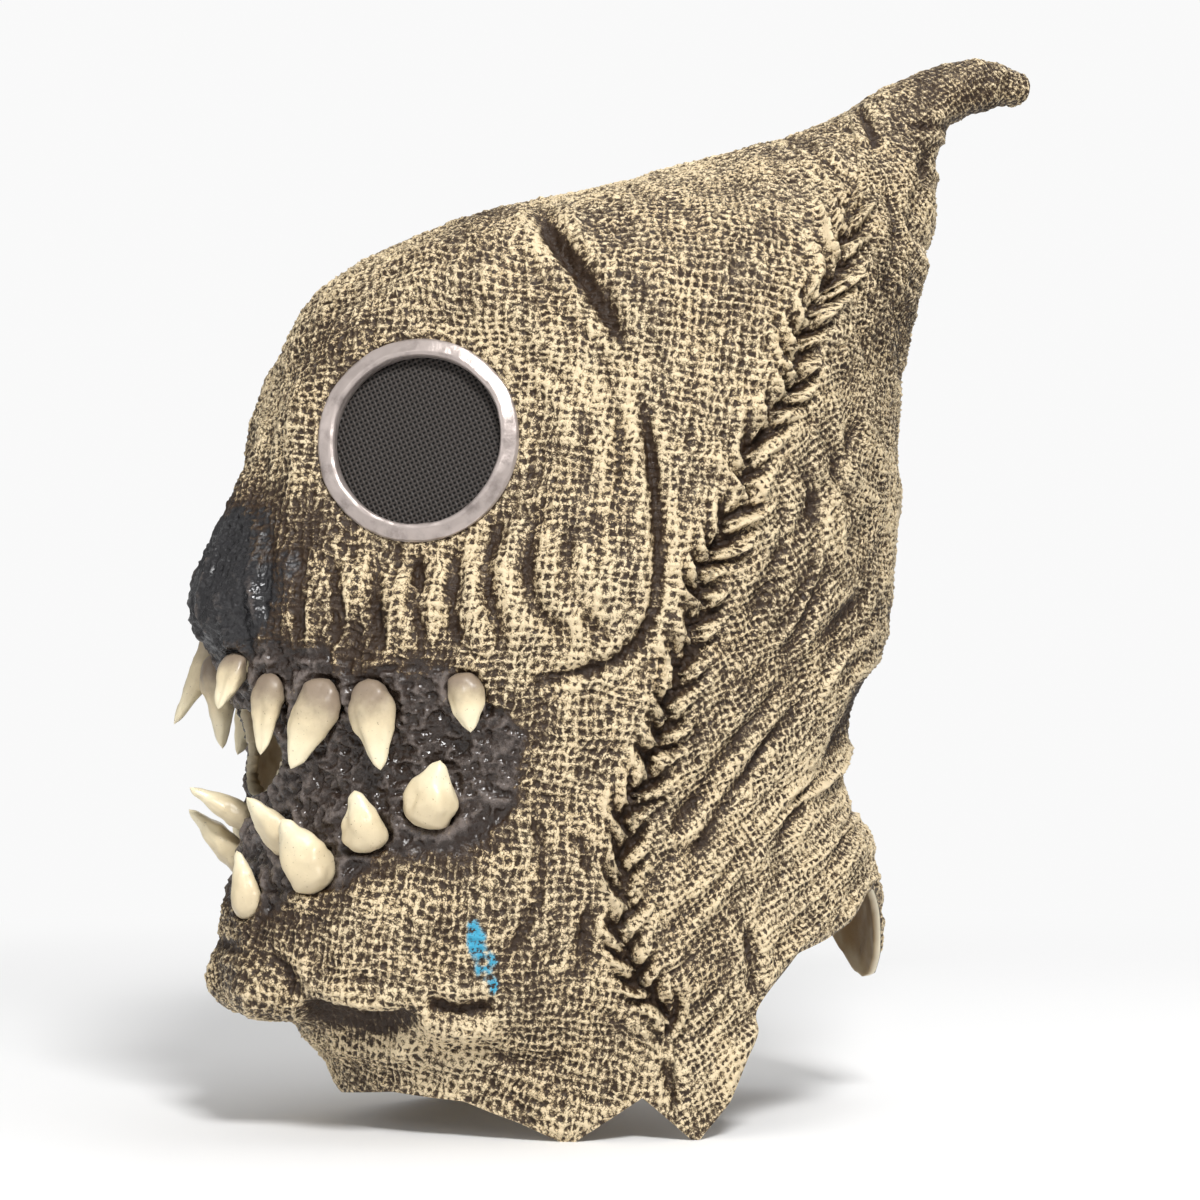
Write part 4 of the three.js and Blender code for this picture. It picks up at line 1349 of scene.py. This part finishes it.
@dataclass
class Hood:
    """The latex hood: painted panels, the curled tip, and the raw inside with its cut edges."""

    relief: Relief
    paint: SackLatex
    raw: RawLatex
    hole_radius: float = 35.4
    tip_station: float = 22.0
    tip_lap: float = 0.06
    rows: int = 700
    shade_reach: float = 4.5
    body_share: float = 0.86
    inside_weld: float = 0.0002
    tip_weld: float = 0.00002
    panels: tuple[Panel, ...] = (
        Panel("face", 0, 42, 128),
        Panel("cheek", 42, 84, 132),
        Panel("side", 84, 132, 132),
        Panel("nape", 132, 180, 112),
    )

    def build(self) -> None:
        """Builds every piece of the hood."""
        scale = 1.0
        for side in Side:
            for panel in self.panels:
                self.panel(panel, side, scale)
        self.tip(scale)
        self.inside()

    def eye_radius(self, points: Array, side: Side) -> tuple[Array, Array, Array]:
        """Returns which points are near an eye's seat, their radii, and their offsets across it."""
        height, flat = off_axis(points, *self.relief.form.seat(side))
        return np.abs(height) < 20.0, np.linalg.norm(flat, axis=1), flat

    def holes(self, smooth: Array) -> Array:
        """Marks the points that lie in the mouth or in an eye hole."""
        lost = self.relief.mouth.share(smooth) < 1.0
        for side in Side:
            near, radius, _ = self.eye_radius(smooth, side)
            lost |= near & (radius < self.hole_radius)
        return lost

    def snap(self, points: Array, margin: float) -> Array:
        """Moves points that lie within the margin of a hole's edge onto it.

        Args:
            points: Points in millimetres.
            margin: How far outside a hole points are still moved, as a share of its size.
        """
        moved = points.copy()
        share = self.relief.mouth.share(points)
        inside = share < 1.0 + margin
        moved[inside] = self.relief.mouth.snap(points[inside])
        for side in Side:
            near, radius, flat = self.eye_radius(points, side)
            inside = near & (radius < self.hole_radius * (1.0 + margin))
            stretch = self.hole_radius / np.maximum(radius[inside], 1e-6) - 1.0
            moved[inside] += flat[inside] * stretch[:, None]
        return moved

    def rise(self, around: Array, share: Array) -> Array:
        """Returns section numbers from the hem to the tip's start, evenly spaced along the cloth."""
        form = self.relief.form
        hem = form.hem_at(around)
        at = np.clip(share, 0.0, 1.0)
        edge = 0.22
        low = hem + (form.shoulder - hem) * at / edge
        high = form.shoulder + (self.tip_station - form.shoulder) * (at - edge) / (1.0 - edge)
        return np.where(at < edge, low, high)

    def panel(self, panel: Panel, side: Side, scale: float) -> None:
        """Builds one painted panel.

        Args:
            panel: The panel's angles and fineness.
            side: The side that it is on.
        """
        name = f"hood_{panel.label}_{side.name.lower()}"
        columns, rows = int(panel.columns * scale), int(self.rows * scale)
        mesh, across, share = sheet(name, columns, rows)
        start, end = math.radians(panel.start), math.radians(panel.end)
        if side is Side.RIGHT:
            start, end = -end, -start
        around = start + (end - start) * across
        up = self.rise(around, share)
        points, moved, values = self.relief.apply(around, up)
        smooth = self.relief.form.points(around, up)
        # Painted highlight on ridges and painted shade in hollows, from the relief against its
        # surroundings.
        values["dry"] += np.tanh(self.cavity(moved, across, share, smooth) / 1.3)
        self.dress(mesh, points, values, np.stack([across, share], axis=1))
        lost = self.holes(smooth)
        if lost.any():
            cut(mesh, lost)
            store(mesh, self.snap(read(mesh) / MM, 0.0))
        nodes = ("latex_hood",) if panel.label == "face" and side is Side.LEFT else ()
        add_piece(name, mesh, self.paint, "latex", *nodes)

    def cavity(self, moved: Array, across: Array, share: Array, smooth: Array) -> Array:
        """Compares the relief of a grid with its surroundings.

        Args:
            moved: Height of the relief, in millimetres.
            across: Each place's share of the way across the grid.
            share: Each place's share of the way up.
            smooth: The smooth points under it.

        Returns:
            Values above 0 on ridges and below 0 in grooves.
        """
        order, columns = in_rows(across, share)
        grid = moved[order].reshape(-1, columns)
        places = smooth[order].reshape(-1, columns, 3)
        steps = [np.linalg.norm(np.diff(places, axis=axis), axis=2).mean() for axis in (0, 1)]
        blurred = grid
        for axis, step in enumerate(steps):
            reach = max(1, int(self.shade_reach / max(step, 0.1)))
            reach = min(reach, grid.shape[axis] // 2)
            padded = np.pad(blurred, [(reach, reach) if a == axis else (0, 0) for a in (0, 1)], "edge")
            total = np.cumsum(padded, axis=axis)
            total = np.concatenate([np.zeros_like(np.take(total, [0], axis)), total], axis)
            width = 2 * reach + 1
            size = grid.shape[axis]
            high = np.take(total, range(width, width + size), axis)
            low = np.take(total, range(size), axis)
            blurred = (high - low) / width
        result = np.empty(len(moved))
        result[order] = (grid - blurred).ravel()
        return result

    def dress(self, mesh: bpy.types.Mesh, points: Array, values: dict[str, Array], flat: Array) -> None:
        """Stores a panel's shape and everything that its finish reads."""
        store(mesh, points)
        set_uv(mesh, "OFBake", flat * 0.99 + 0.005)
        set_uv(mesh, "Threads", values["threads"])
        for key in ("dry", "bare", "nose", "gums", "blue", "deep"):
            set_values(mesh, key, values[key])

    def tip(self, scale: float) -> None:
        """Builds the curled tip, closed at its end."""
        mesh, across, share = sheet("hood_tip", int(220 * scale), int(200 * scale))
        around = -math.pi + TURN * across
        last = len(self.relief.form.table)
        start = self.tip_station - self.tip_lap
        up = start + (last - start) * share
        points, moved, values = self.relief.apply(around, up)
        # Painted highlight on ridges and painted shade in hollows, from the relief against its
        # surroundings.
        values["dry"] += np.tanh(self.cavity(moved, across, share, points) / 1.3)
        self.dress(mesh, points, values, np.stack([across, share], axis=1))
        cut(mesh, np.zeros(len(points), dtype=bool), weld=self.tip_weld)
        add_piece("hood_tip", mesh, self.paint, "latex")

    def hollow(self, around: Array, up: Array, across: Array, share: Array) -> Array:
        """Returns how deep the outside's folds press into the inside, at most 0, in millimetres."""
        moved = np.minimum(self.relief.apply(around, up)[1], 0.0)
        order, columns = in_rows(across, share)
        grid = moved[order].reshape(-1, columns)
        deepest = grid
        for axis in (0, 1):
            for step in (-1, 1):
                deepest = np.minimum(deepest, np.roll(grid, step, axis))
            grid = deepest
        result = np.empty(len(moved))
        result[order] = deepest.ravel()
        return result

    def inside(self) -> None:
        """Builds the raw inside of the latex and the cut edges that join it to the outside."""
        form = self.relief.form
        mesh, across, share = sheet("hood_inside", 250, 190)
        around = -math.pi + TURN * across
        body = self.rise(around, share / self.body_share)
        tip = (share - self.body_share) / (1.0 - self.body_share)
        tip = self.tip_station + (len(form.table) - self.tip_station) * tip
        up = np.where(share < self.body_share, body, tip)
        smooth = form.points(around, up)
        normals = form.normals(around, up)
        sag = form.wall + 0.4 * GRAIN.layers(smooth, 16.0, 3) - self.hollow(around, up, across, share)
        points = smooth - sag[:, None] * normals
        store(mesh, points)
        lost = self.holes(smooth)
        shape = bmesh.new()
        shape.from_mesh(mesh)
        outward = shape.verts.layers.float_vector.new("outward")
        outside = shape.verts.layers.float_vector.new("outside")
        cut_mark = shape.verts.layers.float.new("cut")
        for vert, normal, place in zip(shape.verts, normals, smooth):
            vert[outward] = Vector(normal)
            vert[outside] = Vector(place * MM)
        drop(shape, lost)
        bmesh.ops.remove_doubles(shape, verts=shape.verts, dist=self.inside_weld)
        edges = [edge for edge in shape.edges if edge.is_boundary]
        for vert in {vert for edge in edges for vert in edge.verts}:
            place = np.array([vert[outside]]) / MM
            moved = Vector((self.snap(place, 0.14)[0] - place[0]) * MM)
            vert.co += moved
            vert[outside] = vert[outside] + moved
        grown = bmesh.ops.extrude_edge_only(shape, edges=edges)["geom"]
        rim = [item for item in grown if isinstance(item, bmesh.types.BMVert)]
        for vert in rim:
            vert.co = vert[outside] - vert[outward] * 0.15 * MM
            vert.co.z = max(vert.co.z, 0.0)
            vert[cut_mark] = 1.0
        bmesh.ops.reverse_faces(shape, faces=shape.faces)
        add_piece("hood_inside", finished(shape, mesh), self.raw, "latex")


# ---------------------------------------------------------------- eyes


@dataclass
class Eye:
    """One screened eye: a silver ring, the woven screen behind it and the glue that holds it."""

    form: HoodForm
    silver: SilverPaint
    mesh_finish: BlackMesh
    glue: DriedGlue
    side: Side
    screen_radius: float = 32.5
    ring_band: float = 6.8
    ring_rise: float = 3.0
    sleeve_wall: float = 2.4
    screen_lap: float = 3.5
    screen_thickness: float = 0.4
    gap: float = 0.3
    screen_pitch: float = 1.75
    screen_slant: float = 24.0

    @property
    def screen_edge(self) -> float:
        """The screen's outer radius, behind the latex round the hole."""
        return self.screen_radius + self.sleeve_wall + self.gap + self.screen_lap

    def build(self) -> None:
        """Builds the eye's three pieces."""
        centre, normal = self.form.seat(self.side)
        self.centre = centre
        self.normal = normal
        self.across = unit(np.cross(np.array([0.0, 0.0, 1.0]), normal))
        self.lift = np.cross(normal, self.across)
        self.ring()
        self.screen()
        self.bead()

    def placed(self, local: Array) -> Array:
        """Puts points whose Y is the eye's axis onto the hood."""
        return self.centre + local @ np.stack([self.across, self.normal, -self.lift])

    def ring(self) -> None:
        """Builds the silver ring, slightly uneven as hand-cast rings are."""
        inner, outer = self.screen_radius, self.screen_radius + self.ring_band
        sleeve, top, base = inner + self.sleeve_wall, self.ring_rise, -self.form.wall
        corners = [(inner, base), (sleeve, base), (sleeve, 0.0), (outer - 0.5, 0.0), (outer, 0.5)]
        corners += [(outer - 0.5, 1.3), (outer - 2.6, 2.1), (inner + 1.7, top)]
        corners += [(inner + 0.5, top - 0.3), (inner, top - 1.1), (inner, 0.3)]
        table = np.array(corners + corners[:1], dtype=float)
        fine = [np.linspace(a, b, 5)[:-1] for a, b in zip(table[:-1], table[1:])]
        profile = [tuple(point) for point in np.concatenate(fine)]
        name = f"eye_ring_{self.side.name.lower()}"
        mesh = spun(name, profile, 168, True)
        local = read(mesh)
        radial = unit(np.stack([local[:, 0], 0 * local[:, 0], local[:, 2]], axis=1))
        seeded = local + 40.0 * self.side.value
        front = smoothstep(local[:, 1], 0.2, 1.2)
        local[:, 1] += front * (0.4 * GRAIN.layers(seeded, 11.0, 3) + 0.16 * GRAIN.at(seeded, 2.0))
        uneven = 0.55 * GRAIN.at(seeded + 11.0, 17.0) + 0.2 * GRAIN.at(seeded, 4.0)
        local += radial * (uneven * front)[:, None]
        store(mesh, self.placed(local))
        add_piece(name, mesh, self.silver, "ring", name)

    def screen(self) -> None:
        """Builds the woven screen as a round of cloth with its threads raised."""
        name = f"eye_screen_{self.side.name.lower()}"
        radius = self.screen_edge
        faces = 190
        mesh, across, share = sheet(name, faces, faces)
        flat = (np.stack([across, share], axis=1) * 2.0 - 1.0) * radius
        angle = math.radians(self.screen_slant)
        cos, sin = math.cos(angle), math.sin(angle)
        threads = flat @ np.array([[cos, -sin], [sin, cos]]) / self.screen_pitch
        height = 0.32 * (Relief.weave(threads) - 0.5) + 0.25 * bell(np.hypot(*flat.T), 20.0)
        depth = -self.form.wall - self.gap - 0.35
        local = np.stack([flat[:, 0], depth + height, -flat[:, 1]], axis=1)
        store(mesh, self.placed(local))
        set_uv(mesh, "Threads", threads)
        lost = np.hypot(*flat.T) > radius
        cut(mesh, lost)
        piece = add_piece(name, mesh, self.mesh_finish, "screen", name)
        solid = piece.modifiers.new("Thickness", "SOLIDIFY")
        solid.thickness = self.screen_thickness * MM
        solid.offset = -1.0

    def bead(self) -> None:
        """Builds the uneven bead of glue round the screen's edge, inside the hood."""
        name = f"eye_screen_glue_{self.side.name.lower()}"
        edge = self.screen_edge
        base = -self.form.wall
        profile = [(edge + 3.3, base - 0.1), (edge + 0.3, base - 0.1), (edge - 2.6, base - 1.1)]
        for step in range(9):
            angle = math.pi * step / 8.0
            profile.append((edge + 0.3 - 3.0 * math.cos(angle), base - 1.2 - 1.7 * math.sin(angle)))
        mesh = spun(name, profile, 132, True)
        local = read(mesh)
        behind = smoothstep(-local[:, 1], 1.0 - base, 2.0 - base)
        local[:, 1] -= behind * 0.6 * GRAIN.layers(local + 25.0 * self.side.value, 8.0, 2)
        store(mesh, self.placed(local))
        add_piece(name, mesh, self.glue, "glue", name)


# ---------------------------------------------------------------- teeth


@dataclass
class Tooth:
    """One cast fang with its ridges, its lumpy root and the dab of glue that holds it inside."""

    ivory: Ivory
    glue: DriedGlue
    row: Row
    side: Side
    number: int
    seat: ToothSeat
    size: ToothSize
    wall: float = 3.0
    back_share: float = 0.3
    thickness: float = 0.72
    sink: float = 0.35
    curl: float = 0.1
    keel: float = 0.13
    stud_depth: float = 2.2
    outline: tuple[tuple[float, float], ...] = (
        (0, 0), (0.5, 0.04), (0.86, 0.14), (1, 0.32), (0.88, 0.52), (0.6, 0.74), (0.3, 0.92),
        (0, 1),
    )
    nub: tuple[tuple[float, float], ...] = (
        (0, 0), (0.5, 0.03), (0.88, 0.12), (1, 0.29), (0.95, 0.46), (0.76, 0.63), (0.47, 0.79),
        (0.29, 0.92), (0, 1),
    )

    @property
    def name(self) -> str:
        """The CAD node that the tooth replaces."""
        return f"tooth_{self.row.name.lower()}_{self.side.name.lower()}_{self.number}"

    def build(self) -> None:
        """Builds the tooth and its glue."""
        length, width = self.size.length, self.size.width
        table = np.array(self.outline if self.row is Row.UPPER else self.nub, dtype=float)
        fine = smooth_rows(table, np.linspace(0.0, len(table) - 1.0, 36))
        fine[:, 0] = np.maximum(fine[:, 0], 0.0)
        profile = [(r * width / 2, (along - self.back_share) * length) for r, along in fine]
        mesh = spun(self.name, profile, 56, False)
        local = read(mesh)
        seed = 13.0 * self.number + 90.0 * self.row.value + 37.0 * self.side.value
        share = local[:, 1] / length + self.back_share
        angle = np.arctan2(local[:, 2], local[:, 0])
        swell = 1.0 + 0.14 * GRAIN.layers(local + seed, 7.0, 2) + 0.05 * np.cos(3.0 * angle + seed)
        lean = angle - math.pi / 2 - 0.5 * math.sin(seed)
        strength = self.keel if self.row is Row.UPPER else 0.4 * self.keel
        swell += strength * bell(lean, 0.35) * smoothstep(share, 0.15, 0.4)
        swell -= 0.6 * strength * bell(np.abs(lean) - 0.75, 0.3) * smoothstep(share, 0.2, 0.45)
        edge = 1.0 + 0.05 * bell(np.abs(np.cos(angle)) - 1.0, 0.06) * smoothstep(share, 0.25, 0.6)
        local[:, 0] *= swell * edge
        local[:, 2] *= swell * self.thickness
        ahead = np.maximum(0.0, local[:, 1] / length)
        local[:, 2] += self.curl * length * ahead**2
        local[:, 0] += 0.06 * length * math.sin(seed) * ahead**2
        local += 0.3 * np.stack([GRAIN.layers(local + seed + k, 4.4, 2) for k in range(3)], axis=1)
        across = np.cross(self.seat.along, self.seat.out)
        base = self.seat.root + self.seat.normal * width * self.thickness * (0.5 - self.sink)
        points = base + local @ np.stack([across, self.seat.along, self.seat.out])
        depth = (points - self.seat.root) @ self.seat.normal
        lift = np.maximum(0.0, -self.stud_depth - depth)
        points += lift[:, None] * self.seat.normal
        store(mesh, points)
        set_values(mesh, "along", np.clip(share, 0.0, 1.0))
        # Upper roots take the full stain and painted shade, lower roots a quarter of it.
        stained = 1.0 if self.row is Row.UPPER else 0.25
        set_values(mesh, "stained", np.full(len(points), stained))
        add_piece(self.name, mesh, self.ivory, "tooth", self.name)
        self.dab(seed)

    def dab(self, seed: float) -> None:
        """Builds the dab of glue over the tooth's stud, inside the hood."""
        name = f"{self.name}_glue"
        shape = bmesh.new()
        bmesh.ops.create_icosphere(shape, subdivisions=3, radius=1.0)
        mesh = finished(shape, name)
        ball = read(mesh)
        ball *= (1.0 + 0.3 * GRAIN.at(ball * 8.0 + seed, 7.0))[:, None]
        across = unit(np.cross(self.seat.normal, self.seat.along))
        upward = np.cross(self.seat.normal, across)
        centre = self.seat.root - self.seat.normal * (self.wall + 0.4)
        points = centre + ball @ np.stack([6.0 * across, 6.0 * upward, 1.9 * self.seat.normal])
        store(mesh, points)
        add_piece(name, mesh, self.glue, "glue")


# ---------------------------------------------------------------- studio


@dataclass(frozen=True)
class Studio:
    """The floor, the lights and the camera, in metres."""

    azimuth: float = 70.0
    distance: float = 1.461
    aim: tuple[float, float] = (-0.0115, 0.2075)
    lens: float = 107.8
    floor_size: float = 6.0
    backdrop: float = 0.95
    ambient: float = 0.42
    lamps: tuple[tuple[str, tuple[float, float, float], float, float], ...] = (
        ("key", (1.45, -0.25, 1.40), 36.0, 0.4),
        ("fill", (0.7, -1.6, 0.5), 5.0, 1.2),
        ("top", (0.1, 0.6, 1.9), 8.0, 1.2),
        ("back", (-1.3, 1.1, 1.0), 6.0, 1.2),
    )

    def build(self, floor_finish: StudioFloor) -> None:
        """Builds the floor, the lights and the camera."""
        shape = bmesh.new()
        bmesh.ops.create_grid(shape, x_segments=2, y_segments=2, size=self.floor_size)
        mesh = finished(shape, "floor")
        mesh.materials.append(floor_finish.material)
        floor = bpy.data.objects.new("floor", mesh)
        bpy.context.scene.collection.objects.link(floor)
        self.camera()
        for name, place, power, size in self.lamps:
            self.lamp(name, place, power, size)
        world = bpy.data.worlds.new("studio")
        world.use_nodes = True
        nodes = Tree(world.node_tree)
        seen = nodes.add("LightPath").outputs["Is Camera Ray"]
        strength = nodes.total((seen, self.backdrop - self.ambient), start=self.ambient)
        background = world.node_tree.nodes["Background"]
        background.inputs[0].default_value = (1.0, 1.0, 1.0, 1.0)
        world.node_tree.links.new(strength, background.inputs[1])
        bpy.context.scene.world = world
        bpy.context.scene.view_settings.view_transform = "Standard"

    def camera(self) -> None:
        """Sets the camera level with the mask, seeing the wearer's left side from a little in front."""
        turn = math.radians(self.azimuth)
        towards = Vector((math.sin(turn), -math.cos(turn), 0.0))
        right = Vector((math.cos(turn), math.sin(turn), 0.0))
        middle = right * self.aim[0] + Vector((0.0, 0.0, self.aim[1]))
        data = bpy.data.cameras.new("camera")
        data.lens = self.lens
        data.sensor_width = 36.0
        camera = bpy.data.objects.new("camera", data)
        aim(camera, middle + towards * self.distance, middle)
        bpy.context.scene.camera = camera

    @staticmethod
    def lamp(name: str, place: tuple[float, float, float], power: float, size: float) -> None:
        """Adds a soft square light that faces the mask."""
        data = bpy.data.lights.new(name, "AREA")
        data.energy = power
        data.size = size
        aim(bpy.data.objects.new(name, data), Vector(place), Vector((0.0, 0.0, 0.2)))


def aim(thing: bpy.types.Object, place: Vector, at: Vector) -> None:
    """Puts a light or the camera in its place, facing a point."""
    thing.location = place
    thing.rotation_euler = (at - place).to_track_quat("-Z", "Y").to_euler()
    bpy.context.scene.collection.objects.link(thing)


def main() -> None:
    """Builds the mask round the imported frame."""
    logging.basicConfig(level=logging.INFO, format="%(name)s: %(message)s")
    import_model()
    form = HoodForm()
    mouth = Mouth()
    groups = {"weave": weave_group(), "specks": speckle_group()}
    ivory, glue = Ivory(groups), DriedGlue(groups)
    teeth = []
    for (row, side), sizes in TEETH.items():
        for number, size in enumerate((ToothSize(*numbers) for numbers in sizes), start=1):
            seat = seat_tooth(form, size, row, side)
            teeth.append(Tooth(ivory, glue, row, side, number, seat, size))
    relief = Relief(form, mouth, [(tooth.seat, tooth.size) for tooth in teeth])
    Studio().build(StudioFloor(groups))
    Hood(relief, SackLatex(groups), RawLatex(groups)).build()
    silver, screen = SilverPaint(groups), BlackMesh(groups)
    for side in Side:
        Eye(form, silver, screen, glue, side).build()
    for tooth in teeth:
        tooth.build()


if __name__ == "__main__":
    main()
